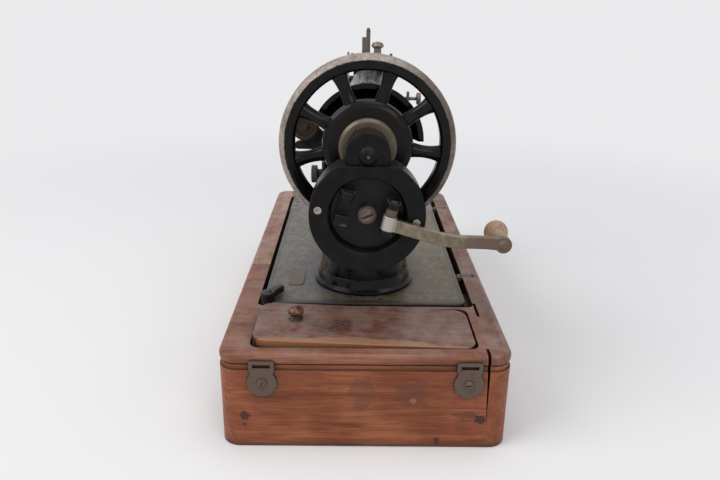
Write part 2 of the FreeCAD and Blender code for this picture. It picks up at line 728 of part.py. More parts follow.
def make_arm():
    z_mid = (head_low_z + head_top_z) / 2
    head_xs = (face_x, face_x + head_length)
    head = slab(head_xs, (head_front_y, head_rear_y), (head_low_z, head_top_z), 9)
    head = round_at_z(head, head_top_z, 5)
    head = round_at_z(head, head_low_z, 3)
    nose = slab((head_x - 10, head_x + 10), (needle_y - 8, presser_y + 8), (head_low_z - 20, z_mid), 6)
    collar = rod_z(head_x, presser_y, (head_top_z - 6, head_top_z + 4), 7.5)
    guide = rod_z(head_x, needle_y, (head_top_z - 6, head_top_z + 2), 5.5)
    stud = winder_stud()
    boss = rod_x((pillar_x + 4, stud[0] + 3), stud[1], stud[2], 5.5)
    stud_pin = rod_x((stud[0] - 2, stud[0] + 7.8), stud[1], stud[2], 2.5)
    pad = box((pillar_x, pillar_x + 18), (-column_r - 1.2, -20), (stitch_z - 16, stitch_z + 16))
    rear_boss = rod_y(pillar_x, (10, foot_r - 7.0), rear_cover_z, 21)
    spool_boss = rod_z(spool_x, 1, (head_top_z - 14, head_top_z - 3.4), 7)
    lever_boss = rod_y(take_up_x, (head_front_y - 4.6, 0), take_up_z, 4.6)
    ear_z = (lifter_z - 5, lifter_z + 5)
    ears = [(head_x - 7, head_x - 3), (head_x + 3, head_x + 7)]
    lifter_boss = fuse([box(x, (head_rear_y - 3, head_rear_y + 7), ear_z) for x in ears])
    solids = pillar() + [arm_beam(), head, nose, collar, guide, boss, stud_pin, pad, rear_boss, spool_boss]
    solids += [lever_boss, lifter_boss, hood()]
    body = fuse(solids)
    bar_z = (head_low_z - 60, head_top_z + 9)
    cuts = [
        rod_x((head_x + 20, wheel_near_x), 0, shaft_z, shaft_r + running),
        rod_z(head_x, needle_y, bar_z, needle_bar_r + running),
        rod_z(head_x, presser_y, bar_z, presser_bar_r + running),
        rod_z(head_x, presser_y, (head_top_z - 6, head_top_z + 9), 4.3 + running),
        rod_z(spool_x, 1, (head_top_z - 14, head_top_z + 2), spool_r),
        box((pillar_x + 6.4, pillar_x + 11.6), (-50, -18), (stitch_z - 10, stitch_z + 10)),
        rod_y(pillar_x, (20, 60), rear_cover_z, 2.0),
        rod_x((face_x - 1, face_x + 12), face_screw_y, tension_z, 2.5),
        rod_x((face_x - 1, face_x + 8), face_screw_y, face_screw_z, 1.6),
        rod_x((head_x - 9, head_x + 9), lifter_y, lifter_z, 1.5 + running),
        rod_x((pillar_x + 20, pillar_x + 60), 0, bracket_bolt_z, 3.0),
        rod_y(take_up_x, (head_front_y - 6, head_front_y + 4), take_up_z, 2.2 + running),
    ]
    for x, y in bolt_places():
        cuts.append(rod_z(x, y, (bed_top - 1, bed_top + 12), 3.0))
    body = cut(body, cuts)
    export("arm", [body])
    return body


def make_head_details():
    plate = box((face_x - 2, face_x), (head_front_y + 3, head_rear_y - 3), (head_low_z + 4, head_top_z - 6))
    plate = plate.makeFillet(6, [e for e in plate.Edges if e.BoundBox.XLength > 1])
    through = (face_x - 3, face_x + 1)
    tension_hole = rod_x(through, face_screw_y, tension_z, 2.5)
    plate = cut(plate, [tension_hole, rod_x(through, face_screw_y, face_screw_z, 1.6)])
    export("face_plate", [plate])
    rear = foot_r - 7.0
    lid = turned([(0, 0), (0, 19), (1.4, 18.6), (2.2, 15), (2.2, 0)],
                 (pillar_x, rear, rear_cover_z), (0, 1, 0))
    export("rear_cover", [cut(lid, [rod_y(pillar_x, (rear - 1, rear + 4), rear_cover_z, 2.0)])])
    foot = [(0, 0), (0, 5.2), (1.6, 4.6), (3.0, 2.2), (3.0, 0)]
    tip_z = head_top_z + spool_height
    pin = fuse([
        turned(foot, (spool_x, 1, head_top_z - 3.4), (0, 0, 1)),
        rod_z(spool_x, 1, (head_top_z - 12, tip_z), spool_r),
        turned([(0, 0), (0, spool_r), (1.5, spool_r * 0.7), (2.2, 0)], (spool_x, 1, tip_z), (0, 0, 1)),
    ])
    export("spool_pin", [pin])
    tip = face_x - 2
    dish = [(0, 2.5), (0, 5), (1.6, 9.5), (2.6, 9.5), (1.4, 4.6), (1.4, 2.5)]
    disc_a = turned([(-a, r) for a, r in dish], (tip - 0.6, face_screw_y, tension_z), (1, 0, 0))
    disc_b = turned(dish, (tip - 6.6, face_screw_y, tension_z), (1, 0, 0))
    export("tension_discs", [disc_a, disc_b])
    nut = turned([(0, 2.55), (0, 5.5), (-5, 5.5), (-6, 4.6), (-6, 2.55)],
                 (tip - 7.2, face_screw_y, tension_z), (1, 0, 0))
    export("tension_nut", [nut])
    screw = turned([(-6, 0), (-6, 4.3), (8, 4.3), (9.5, 6.8), (11, 7.2), (14, 5.6), (15.5, 0)],
                   (head_x, presser_y, head_top_z + 4), (0, 0, 1))
    export("presser_screw", [cut(screw, [rod_z(head_x, presser_y, (head_top_z - 3, head_top_z + 6), 2.6)])])


def make_bars():
    low = needle_low_z
    bar = rod_z(head_x, needle_y, (low, head_top_z + 24), needle_bar_r)
    collar = rod_z(head_x, needle_y, (low, low + 9), 5.0)
    clamp = rod_y(head_x, (needle_y - 12, needle_y - 3), low + 4, 1.8)
    thumb = rod_y(head_x, (needle_y - 14.5, needle_y - 11), low + 4, 3.6)
    shank_hole = rod_z(head_x, needle_y, (low - 1, low + 8), needle_r)
    export("needle_bar", [cut(fuse([bar, collar, clamp, thumb]), [shank_hole])])
    needle = turned([(0, 0), (0, needle_r), (-12, needle_r), (-14, 0.5), (-30, 0.45), (-34, 0)],
                    (head_x, needle_y, low + 8), (0, 0, 1))
    export("needle", [needle])
    export("presser_bar", [rod_z(head_x, presser_y, (foot_top_z - 6, head_top_z - 13), presser_bar_r)])
    shank = box((head_x - 5, head_x + 5), (presser_y - 5, presser_y + 5), (bed_top + 7, foot_top_z + 4))
    shank = shank.makeFillet(1.5, [e for e in shank.Edges if e.BoundBox.ZLength > 5])
    sole_z = bed_top + 0.6
    sole = slab((head_x - 6.5, head_x + 6.5), (needle_y - 10, presser_y + 5), (sole_z, sole_z + 2), 3)
    ankle = box((head_x - 3.5, head_x + 3.5), (presser_y - 4, presser_y + 4), (sole_z + 1, bed_top + 9))
    gap = box((head_x - 1.7, head_x + 1.7), (needle_y - 12, needle_y + 4), (sole_z - 1, sole_z + 3))
    hole = rod_z(head_x, presser_y, (foot_top_z - 6, foot_top_z + 6), presser_bar_r)
    screw = rod_x((head_x + 4, head_x + 9), presser_y, foot_top_z - 1, 3.2)
    export("presser_foot", [cut(fuse([shank, sole, ankle, screw]), [gap, hole])])


def make_levers():
    pin = rod_x((head_x - 7, head_x + 7), lifter_y, lifter_z, 1.5)
    hub = rod_x((head_x - 2.8, head_x + 2.8), lifter_y, lifter_z, 3.2)
    knob_z = lifter_z + lifter_knob_rise
    bend_y = lifter_knob_y[0] - 10
    lever = link((head_x - 2.4, lifter_y, lifter_z), (head_x - 2.4, bend_y, knob_z), 3.0, 2.6, (1, 0, 0), 4.8)
    stem = rod_y(head_x, (bend_y - 1, lifter_knob_y[1] - 1), knob_z, 2.0)
    tab = box((head_x - 2.4, head_x + 2.4), (bend_y - 1.5, bend_y + 1.5), (knob_z, knob_z + 8))
    thumb = rod_y(head_x, lifter_knob_y, knob_z, lifter_knob_r)
    thumb = thumb.makeFillet(1.6, [e for e in thumb.Edges if e.BoundBox.YLength < 0.1])
    export("presser_lifter", [fuse([pin, hub, lever, stem, tab, thumb])])
    lever_y = head_front_y - 4.8
    eye = (head_x - 4, lever_y, take_up_z + take_up_eye_rise)
    lever = link((take_up_x, lever_y, take_up_z), eye, 5.0, 3.2, (0, -1, 0), 2.4)
    shoulder = rod_y(take_up_x, (lever_y - 4.2, head_front_y + 4), take_up_z, 2.2)
    hole = rod_y(eye[0], (eye[1] - 5, eye[1] + 2), eye[2], 1.3)
    export("take_up_lever", [cut(fuse([lever, shoulder]), [hole])])


def make_stitch_regulator():
    x = pillar_x + 9
    face = -column_r - 1.2
    stem = rod_y(x, (face - 11, face + 9), stitch_z, 2.4)
    plate = box((x - 7, x + 7), (face - 2.2, face - 0.2), (stitch_z - 12, stitch_z + 12))
    plate = plate.makeFillet(2, [e for e in plate.Edges if e.BoundBox.YLength > 1])
    export("stitch_lever", [fuse([plate, stem])])
    knob = turned([(0, 2.45), (0, 4.2), (3.2, 4.2), (3.8, 7.5), (8.2, 7.5), (8.8, 6.6), (8.8, 2.45)],
                  (x, face - 2.6, stitch_z), (0, -1, 0))
    export("stitch_knob", [knob])


def make_winder():
    stud = winder_stud()
    x = (stud[0] + 3.3, stud[0] + 7.3)
    thick = x[1] - x[0]
    pulley = (stud[1] - 13.0, stud[2] + 13.0)
    plate = link((x[0], stud[1], stud[2]), (x[0], pulley[0], pulley[1]), 7.5, 6.0, (1, 0, 0), thick)
    tail = link((x[0], stud[1], stud[2]), (x[0], stud[1] - 19, stud[2] - 3), 6.5, 3.2, (1, 0, 0), thick)
    body = cut(fuse([plate, tail]), [
        rod_x((x[0] - 1, x[1] + 1), stud[1], stud[2], 2.5 + running),
        rod_x((x[0] - 1, x[1] + 1), pulley[0], pulley[1], 2.0 + running),
    ])
    export("winder_bracket", [body])
    near = x[1] + 0.3
    rim = [(0, 0), (0, 10), (0.6, 11.5), (2, 10.4), (3.4, 11.5), (4, 10), (4, 8)]
    wheel = turned(rim + [(2.8, 8), (2.8, 2.6), (5, 2.2), (5, 0)], (near, pulley[0], pulley[1]), (1, 0, 0))
    axle = rod_x((x[0] - 12, near + 1), pulley[0], pulley[1], 2.0)
    cap = rod_x((x[0] - 12, x[0] - 0.3), pulley[0], pulley[1], 3.0)
    export("winder_pulley", [fuse([wheel, axle, cap])])


# Handwheel
def ring_section(angle, radius, wide, deep):
    ring = Part.Ellipse(V(0, 0, 0), max(wide, deep) + 1e-3, min(wide, deep)).toShape()
    if deep > wide:
        ring.rotate(V(0, 0, 0), V(0, 0, 1), 90)
    ring.rotate(V(0, 0, 0), V(1, 1, 1), 120)
    ring.rotate(V(0, 0, 0), V(0, 1, 0), 90)
    ring.translate(V(spoke_x, 0, shaft_z + radius))
    ring.rotate(V(0, 0, shaft_z), V(1, 0, 0), angle - 90)
    return Part.Wire([ring])


def spoke(angle):
    rings = [
        ring_section(angle, hub_r - 6, 7.6, 6.0),
        ring_section(angle, hub_r + 7, 4.9, 4.4),
        ring_section(angle, rim_inner_r - 6, 5.2, 4.6),
        ring_section(angle, rim_inner_r + 4, 8.4, 6.0),
    ]
    return Part.makeLoft(rings, True)


def make_wheel():
    depth = wheel_width
    rim = turned([
        (3, rim_inner_r + 2.5), (5.5, rim_inner_r), (depth - 5, rim_inner_r), (depth - 2, rim_inner_r + 1.5),
        (depth - 0.6, rim_inner_r + 5.6), (depth, wheel_r - 4), (depth - 1.4, wheel_r - 1.2),
        (depth - 4, wheel_r), (4, wheel_r), (1.4, wheel_r - 1.4), (0, wheel_r - 5), (1, rim_inner_r + 5),
    ], (wheel_far_x, 0, shaft_z), (1, 0, 0))
    back = wheel_far_x - 3
    hub = turned([
        (back, 0), (back, hub_r - 10), (wheel_far_x + 1, hub_r - 2), (spoke_x - 3, hub_r),
        (spoke_x + 4, hub_r),
        (wheel_near_x - 2, hub_r - 0.8), (wheel_near_x - 0.6, hub_r - 2.6), (hub_near_x, hub_step_r),
        (hub_near_x, 0),
    ], (0, 0, shaft_z), (1, 0, 0))
    body = [rim, hub]
    for k in range(spoke_count):
        body.append(spoke(spoke_start + math.degrees(math.tau) * k / spoke_count))
    wheel = cut(fuse(body), [rod_x((back - 1, hub_near_x + 1), 0, shaft_z, shaft_r)])
    export("handwheel", [wheel])
    export("main_shaft", [rod_x((head_x + 22, clutch_near_x - 3), 0, shaft_z, shaft_r)])
    make_clutch()


# Crank gears
def involute_point(base, roll):
    return (base * (math.cos(roll) + roll * math.sin(roll)), base * (math.sin(roll) - roll * math.cos(roll)))


def gear_face(teeth, x, centre_z, turn):
    pitch = gear_module * teeth / 2
    base = pitch * math.cos(math.radians(pressure_angle))
    outer = pitch + 0.85 * gear_module
    root = pitch - 1.15 * gear_module
    start = max(base, root + 0.05)
    pitch_roll = math.sqrt((pitch / base) ** 2 - 1)
    px, py = involute_point(base, pitch_roll)
    half = math.pi / (2 * teeth) - backlash / (4 * pitch) + math.atan2(py, px)
    flank = []
    for k in range(4):
        radius = start + (outer - start) * k / 3
        roll = math.sqrt(max((radius / base) ** 2 - 1, 0))
        fx, fy = involute_point(base, roll)
        flank.append((radius, half - math.atan2(fy, fx)))
    points = []
    for tooth in range(teeth):
        middle = math.radians(turn) + 2 * math.pi * tooth / teeth
        side = [(root, middle - flank[0][1])] + [(r, middle - a) for r, a in flank]
        side += [(r, middle + a) for r, a in reversed(flank)] + [(root, middle + flank[0][1])]
        points += [V(x, r * math.cos(a), centre_z + r * math.sin(a)) for r, a in side]
    return Part.Face(Part.makePolygon(points + [points[0]]))


def tilt_point(u, v):
    # From the crank's own directions to the row's Y and Z.
    c = math.cos(math.radians(crank_tilt))
    s = math.sin(math.radians(crank_tilt))
    return (u * c + v * s, crank_z - u * s + v * c)


def tilted(shape):
    # Shapes drawn with u along +Y from the crank centre turn to the crank's lean.
    shape.rotate(V(0, 0, crank_z), V(1, 0, 0), -crank_tilt)
    return shape


def case_round(x):
    whole = rod_x(x, 0, crank_z, case_r)
    depth = (crank_z - case_r - 1, crank_z + case_flat)
    return whole.common(box((x[0] - 1, x[1] + 1), (-case_r - 1, case_r + 1), depth))


def case_lobe():
    # The pinion's bulge stands prouder than the cover above the cover's flat top.
    low_x = (case_back_x, case_split_x)
    lobe = [rod_x(low_x, 0, shaft_z, lobe_r), box(low_x, (-lobe_r, lobe_r), (crank_z + 20, shaft_z))]
    front = rod_x((case_split_x - 1, lobe_front_x), 0, shaft_z, lobe_r)
    above = box((case_split_x - 1, lobe_front_x + 1), (-lobe_r, lobe_r),
                (crank_z + case_flat, shaft_z + lobe_r))
    cap = turned([(-1, 0), (-1, cap_r), (1.8, cap_r), (3.8, cap_r - 1.6), (4.8, cap_r - 3.4),
                  (cap_height, cap_r - 5), (cap_height, 0)], (lobe_front_x, 0, shaft_z), (1, 0, 0))
    return lobe + [front.common(above), cap]


def make_crank_case(arm):
    shell = fuse([case_round((case_back_x, case_split_x))] + case_lobe())
    inner_x = (case_back_x + case_wall, case_split_x + 1)
    big = rod_x(inner_x, 0, crank_z, gear_r + 3.2)
    small = rod_x((inner_x[0], case_split_x - 2.5), 0, shaft_z, pinion_r + 3.0)
    shell = cut(shell, [big, small])
    foot = box((pillar_x + 22, case_back_x + 1), (-13, 13), (crank_z - 42, crank_z - 27))
    flange = box((pillar_x + 22, pillar_x + flange_reach), (-15, 15), (bracket_foot_z, crank_z - 27))
    bracket = fuse([foot, flange])
    bracket = cut(bracket, [arm, rod_x((pillar_x + 20, case_back_x), 0, bracket_bolt_z, 3.0)])
    body = fuse([shell, bracket])
    cuts = [
        rod_x((case_back_x - 1, case_split_x + 1), 0, crank_z, spindle_r + running),
        rod_x((case_back_x - 1, lobe_front_x - 0.4), 0, shaft_z, pinion_shaft_r + running),
        rod_x((lobe_front_x - 1, lobe_front_x + cap_height + 1), 0, shaft_z, oil_screw_r + 0.1),
    ]
    for y, z in cover_screw_places():
        cuts.append(rod_x((case_split_x - 6, case_split_x + 1), y, z, 1.4))
    export("crank_housing", [cut(body, cuts)])
    make_case_cover()


def cover_screw_places():
    radius = (case_r + recess_r + recess_round) / 2
    places = []
    for angle in cover_screw_angles:
        a = math.radians(angle)
        places.append((radius * math.cos(a), crank_z + radius * math.sin(a)))
    return places


def cover_screw(y, z):
    head = rod_x((case_front_x - 1.2, case_front_x + 0.4), y, z, 2.85)
    shank = rod_x((case_split_x - 6, case_front_x - 1.2), y, z, 1.4)
    return fuse([head, shank])


def make_gears():
    x = gear_far_x
    gear = gear_face(pinion_teeth * gear_ratio, x, crank_z, 90).extrude(V(gear_width, 0, 0))
    rings = [rod_x((x - 1, x + gear_width + 1), 0, crank_z, spindle_r)]
    web_x = (x + gear_width - 2, x + gear_width + 1)
    web = turned([(web_x[0], 13), (web_x[0], gear_r - 6), (web_x[1], gear_r - 6), (web_x[1], 13)],
                 (0, 0, crank_z), (1, 0, 0))
    export("big_gear", [cut(gear, rings + [web])])
    half_step = 180.0 / pinion_teeth
    pinion = gear_face(pinion_teeth, x, shaft_z, half_step - 90).extrude(V(gear_width, 0, 0))
    shaft = rod_x((clutch_near_x + 0.6, lobe_front_x - 0.7), 0, shaft_z, pinion_shaft_r)
    tip = rod_x((lobe_front_x - 1, lobe_front_x + cap_height - 0.4), 0, shaft_z, oil_screw_r)
    export("pinion", [fuse([pinion, shaft, tip])])
    x0 = clutch_near_x + 0.8
    a = math.radians(finger_angle)
    tip = (x0, finger_arc_r * math.cos(a), shaft_z + finger_arc_r * math.sin(a))
    plate = link((x0, 0, shaft_z), tip, 9.0, 5.0, (1, 0, 0), 2.6)
    finger = rod((wheel_far_x + 4, tip[1], tip[2]), (1, 0, 0), finger_r, x0 - wheel_far_x - 3)
    hole = rod_x((x0 - 1, x0 + 4), 0, shaft_z, pinion_shaft_r)
    export("drive_finger", [cut(fuse([plate, finger]), [hole])])


# Crank disc, arm and handle
def arm_blade(x):
    points = [
        V(x, fold_u + 3, crank_z),
        V(x, arm_reach * 0.40, crank_z - 1.4),
        V(x, arm_reach * 0.62, crank_z - 1.8),
        V(x, arm_reach * 0.86, crank_z + arm_end_rise * 0.6),
        V(x, arm_reach, crank_z + arm_end_rise),
    ]
    lift = V(0, 0, arm_width / 2)
    upper = Part.BSplineCurve()
    upper.interpolate([p + lift for p in points])
    lower = Part.BSplineCurve()
    lower.interpolate([p - lift for p in points])
    start = Part.makeLine(points[0] - lift, points[0] + lift)
    end = Part.makeLine(points[-1] + lift, points[-1] - lift)
    outline = Part.Wire([start, upper.toShape(), end, lower.toShape()])
    return Part.Face(outline).extrude(V(arm_thickness, 0, 0))


def rest_bracket():
    # The lower ear is short, so the unfolded arm can lie over it.
    body = fuse([
        bracket_ear(rest_u, (rest_ear[0], bracket_high), 2.0, False),
        bracket_ear(rest_u, rest_ear, rest_ear_reach, False),
        bracket_ear(rest_u, (upper_ear_foot, bracket_high), ear_reach, True),
        upright(fold_x, rest_u, (stub_foot, upper_ear_foot + 1), stub_r),
    ])
    return tilted(body)


def fold_bracket():
    body = fuse([
        bracket_ear(fold_u, (bracket_low, bracket_high), 2.0, False),
        bracket_ear(fold_u, (bracket_low, fold_ear_top), ear_reach, True),
        bracket_ear(fold_u, (upper_ear_foot, bracket_high), ear_reach, True),
    ])
    bore = upright(fold_x, fold_u, (bracket_low - 1, bracket_high + 1), arm_pin_r)
    return tilted(cut(body, [bore]))


def bracket_ear(u, v, reach, rounded):
    sides = (u - bracket_half, u + bracket_half)
    ear = box((disc_near_x - 1, disc_near_x + reach), sides, (crank_z + v[0], crank_z + v[1]))
    if rounded:
        ear = fuse([ear, upright(disc_near_x + reach, u, v, bracket_half)])
    return ear


def upright(x, u, v, radius):
    # A rod along the crank's own upright direction, before its lean.
    return rod((x, u, crank_z + v[0]), (0, 0, 1), radius, v[1] - v[0])


def make_case_cover():
    front = case_round((case_split_x, case_front_x))
    front = front.cut(rod_x((case_split_x - 1, case_front_x + 1), 0, crank_z, recess_r))
    mouth = []
    for edge in front.Edges:
        size = edge.BoundBox
        flat = abs(size.XMin - case_front_x) < 1e-4 and size.XLength < 1e-4
        if flat and abs(size.ZLength - 2 * recess_r) < 0.1:
            mouth.append(edge)
    front = front.makeFillet(recess_round, mouth)
    for y, z in cover_screw_places():
        front = cut(front, [cover_screw(y, z)])
    export("housing_cover", [front])


def make_clutch():
    near = clutch_near_x
    face = hub_near_x + 0.2
    bore = shaft_r + running
    disc = turned([(face, bore), (face, clutch_r), (near - 2, clutch_r), (near, clutch_r - 2.2), (near, 0),
                   (near - 2.8, 0), (near - 2.8, bore)], (0, 0, shaft_z), (1, 0, 0))
    screw = rod_x((near - 3.5, near + 0.3), -9, shaft_z + 13, 2.4)
    export("clutch_disc", [cut(disc, [rod_x((near - 3.5, near + 1), -9, shaft_z + 13, 2.4)])])
    slot = box((near - 0.6, near + 1), (-9.4, -8.6), (shaft_z + 9, shaft_z + 17))
    export("clutch_screw", [cut(screw, [slot])])


def make_crank_disc():
    disc_r = recess_r - 0.5
    back = disc_near_x - disc_thickness
    disc = turned([(back, 0), (back, disc_r), (disc_near_x - 0.8, disc_r), (disc_near_x, disc_r - 1),
                   (disc_near_x, 0)], (0, 0, crank_z), (1, 0, 0))
    spindle = rod_x((case_back_x - 0.4, back + 1), 0, crank_z, spindle_r)
    x = disc_near_x + screw_boss
    boss = rod_x((disc_near_x - 1, x), 0, crank_z, 8.25)
    body = fuse([disc, spindle, boss, fold_bracket(), rest_bracket()])
    export("crank_disc", [cut(body, [rod_x((disc_near_x - 6, x + 1), 0, crank_z, 3.0)])])
    head = turned([(x, 0), (x, 7.0), (x + 2.6, 7.0), (x + 4.2, 5.8), (x + 5.4, 3.4), (x + 5.4, 0)],
                  (0, 0, crank_z), (1, 0, 0))
    slot = box((x + 3.6, x + 7), (-9, 9), (crank_z - 0.9, crank_z + 0.9))
    slot.rotate(V(x, 0, crank_z), V(1, 0, 0), 22)
    shank = rod_x((disc_near_x - 6, x), 0, crank_z, 3.0)
    export("crank_screw", [cut(fuse([head, shank]), [slot])])
    pin = upright(fold_x, fold_u, (bracket_low - 0.8, bracket_high + 0.8), arm_pin_r)
    collar = upright(fold_x, fold_u, (pin_collar_foot, upper_ear_foot), pin_collar_r)
    export("arm_pin", [tilted(fuse([pin, collar]))])


def make_crank_arm():
    x = fold_x - arm_thickness / 2
    barrel = upright(fold_x, fold_u, barrel_v, barrel_r)
    tip_y = arm_reach
    tip_z = crank_z + arm_end_rise
    disc = rod_x((x, x + arm_thickness), tip_y, tip_z, 6.2)
    rivet = turned([(0, 0), (0, 4.0), (1.2, 2.6), (1.5, 0)], (x + arm_thickness, tip_y, tip_z), (1, 0, 0))
    spindle = rod_x((x - handle_length - 1.2, x + 1), tip_y, tip_z, handle_pin_r)
    stop = rod_x((x - handle_length - 1.9, x - handle_length - 0.3), tip_y, tip_z, 4.4)
    body = fuse([barrel, arm_blade(x), disc, rivet, spindle, stop])
    bore = upright(fold_x, fold_u, (-30, 30), arm_pin_r + running)
    export("crank_arm", [tilted(cut(body, [bore]))])
    profile = [(-0.3, 5.2), (-2.5, 5.6), (-8, 5.0), (-15, 6.6), (-21.5, handle_r - 0.5), (-25.5, handle_r),
               (-30.4, handle_r - 1.6), (-handle_length + 0.3, 5.0)]
    handle = turned_curve(profile, (x, tip_y, tip_z), (1, 0, 0))
    handle = cut(handle, [rod_x((x - handle_length - 2, x + 1), tip_y, tip_z, handle_pin_r + running)])
    export("crank_knob", [tilted(handle)])


# Fasteners on the head
def make_head_screws(pivot):
    tip = face_x - 2
    screws = [cover_screw(y, z) for y, z in cover_screw_places()]
    screws.append(rod_x((tip - 15.6, face_x + 3), face_screw_y, tension_z, 2.5))
    low = turned([(tip - 1.6, 0), (tip - 1.2, 2.4), (tip, 3.2), (tip, 1.6), (face_x + 8, 1.6),
                  (face_x + 8, 0)], (0, face_screw_y, face_screw_z), (1, 0, 0))
    screws.append(low)
    rear = foot_r - 7.0 + 2.2
    thumb = turned([(rear - 12, 0), (rear - 12, 2.0), (rear, 2.0), (rear, 5.2), (rear + 4, 5.6),
                    (rear + 5.5, 3.0), (rear + 5.5, 0)], (pillar_x, 0, rear_cover_z), (0, 1, 0))
    screws.append(thumb)
    for side in (-1, 1):
        x = head_x + side * (slide_width / 2 - 2.5)
        screws.append(rod_z(x, 10, (slide_low, bed_top + 0.1), 1.6))
    stud = rod_z(pivot[0], pivot[1], (feed_low - 2.2, bed_top - bed_plate), 3.0)
    screws.append(fuse([stud, rod_z(pivot[0], pivot[1], (feed_low - 2.2, feed_low - 0.2), 5.0)]))
    export("head_screws", screws)


def hex_bolt(base, axis, length):
    centre = V(*base)
    direction = V(*axis)
    side = V(0, 1, 0) if abs(direction.y) < 0.5 else V(1, 0, 0)
    other = direction.cross(side)
    corners = []
    for k in range(6):
        a = math.radians(60 * k)
        corners.append(centre + (side * math.cos(a) + other * math.sin(a)) * 6.2)
    head = Part.Face(Part.makePolygon(corners + [corners[0]])).extrude(direction * -4.5)
    return fuse([head, Part.makeCylinder(3.0, length, centre, direction)])


def make_head_bolts():
    bolts = [hex_bolt((x, y, bed_top - bed_plate), (0, 0, 1), bed_plate + 11) for x, y in bolt_places()]
    bolts.append(hex_bolt((pillar_x + flange_reach, 0, bracket_bolt_z), (-1, 0, 0), flange_bolt_length))
    export("head_bolts", bolts)


def main():
    os.makedirs("parts", exist_ok=True)
    make_side_boards()
    make_rails()
    make_inner_boards()
    make_catch_plates()
    make_base_screws()
    make_hinges()
    make_lid()
    make_bed()
    make_latch()
    make_plates()
    pivot = make_underworks()
    arm = make_arm()
    make_head_details()
    make_bars()
    make_levers()
    make_stitch_regulator()
    make_winder()
    make_wheel()
    make_crank_case(arm)
    make_gears()
    make_crank_disc()
    make_crank_arm()
    make_head_screws(pivot)
    make_head_bolts()


main()
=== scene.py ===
import math

import bmesh
import bpy
from mathutils import Matrix, Vector


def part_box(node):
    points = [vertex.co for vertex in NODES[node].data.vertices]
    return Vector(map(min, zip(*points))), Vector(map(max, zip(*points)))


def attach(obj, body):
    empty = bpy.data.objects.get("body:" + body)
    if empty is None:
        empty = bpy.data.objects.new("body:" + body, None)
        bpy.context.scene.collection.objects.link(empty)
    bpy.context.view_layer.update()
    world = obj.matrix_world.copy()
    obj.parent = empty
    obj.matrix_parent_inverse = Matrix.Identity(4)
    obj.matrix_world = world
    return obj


# A hand-crank sewing machine on its wooden base box, dressed round the packed
# model. Metres, +Z up, +X toward the handwheel, -Y the operator's side.

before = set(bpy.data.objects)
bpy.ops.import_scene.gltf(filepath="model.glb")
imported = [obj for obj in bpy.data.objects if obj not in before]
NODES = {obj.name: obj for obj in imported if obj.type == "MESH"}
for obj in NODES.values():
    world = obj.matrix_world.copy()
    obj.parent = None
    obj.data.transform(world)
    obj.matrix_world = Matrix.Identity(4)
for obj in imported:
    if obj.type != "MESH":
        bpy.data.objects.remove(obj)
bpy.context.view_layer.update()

# Camera, from a fit to the box's straight edges in the photograph
CAMERA_AT = Vector((0.65371, -0.01021, 0.32601))
CAMERA_LOOK = Vector((-0.94006, 0.010226, -0.340853))
CAMERA_ROLL = math.radians(0.85)
CAMERA_LENS = 33.92

# Light levels: the world and the lamps together light a level face at about 1.
# The floor turns into the backdrop between the two distances of FLOOR_FADE.
WORLD_FILL = 0.42
BACKDROP = (0.825, 0.825, 0.84)
FLOOR = (0.81, 0.81, 0.815)
LAMP_AIM = Vector((0.0, 0.0, 0.12))
FLOOR_REACH = 150.0
FLOOR_FADE = (0.42, 1.15)

# Places read from the frame
BED_LOW, BED_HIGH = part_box("bed")
WHEEL_LOW, WHEEL_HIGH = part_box("handwheel")
BASE_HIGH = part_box("near_end_board")[1]
RAIL_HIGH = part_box("near_top_rail")[1]
LID_LOW, LID_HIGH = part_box("compartment_lid")
SHAFT_Y = (WHEEL_LOW.y + WHEEL_HIGH.y) / 2
SHAFT_Z = (WHEEL_LOW.z + WHEEL_HIGH.z) / 2
CRANK_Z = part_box("crank_disc")[0].z / 2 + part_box("crank_disc")[1].z / 2
WHEEL_R = (WHEEL_HIGH.z - WHEEL_LOW.z) / 2

# Places on the castings that no box gives
HOOD_FRONT = 0.126
HOOD_R = 0.0445
HEAD_TOP = 0.256
TOP_PLATE_Y = (-0.012, 0.030)
PEG_CLEAR = 0.0015
PEG_R = 0.0016
PEG_LENGTH = 0.0075
BADGE_PAD = (0.078, -0.061)
BADGE_HALF = (0.0195, 0.0068)
DISC_FACE = 0.181
HUB_RING_R = 0.0265
DISC_TILT = math.radians(13)
FOLD_X = 0.187
FOLD_OUT = 0.0158
FOLD_AXIS = (0, math.sin(DISC_TILT), math.cos(DISC_TILT))
FOLD_POINT = (FOLD_X, FOLD_OUT * math.cos(DISC_TILT), CRANK_Z - FOLD_OUT * math.sin(DISC_TILT))
BARREL_R = 0.0056
NICKEL_BAND = 0.0043


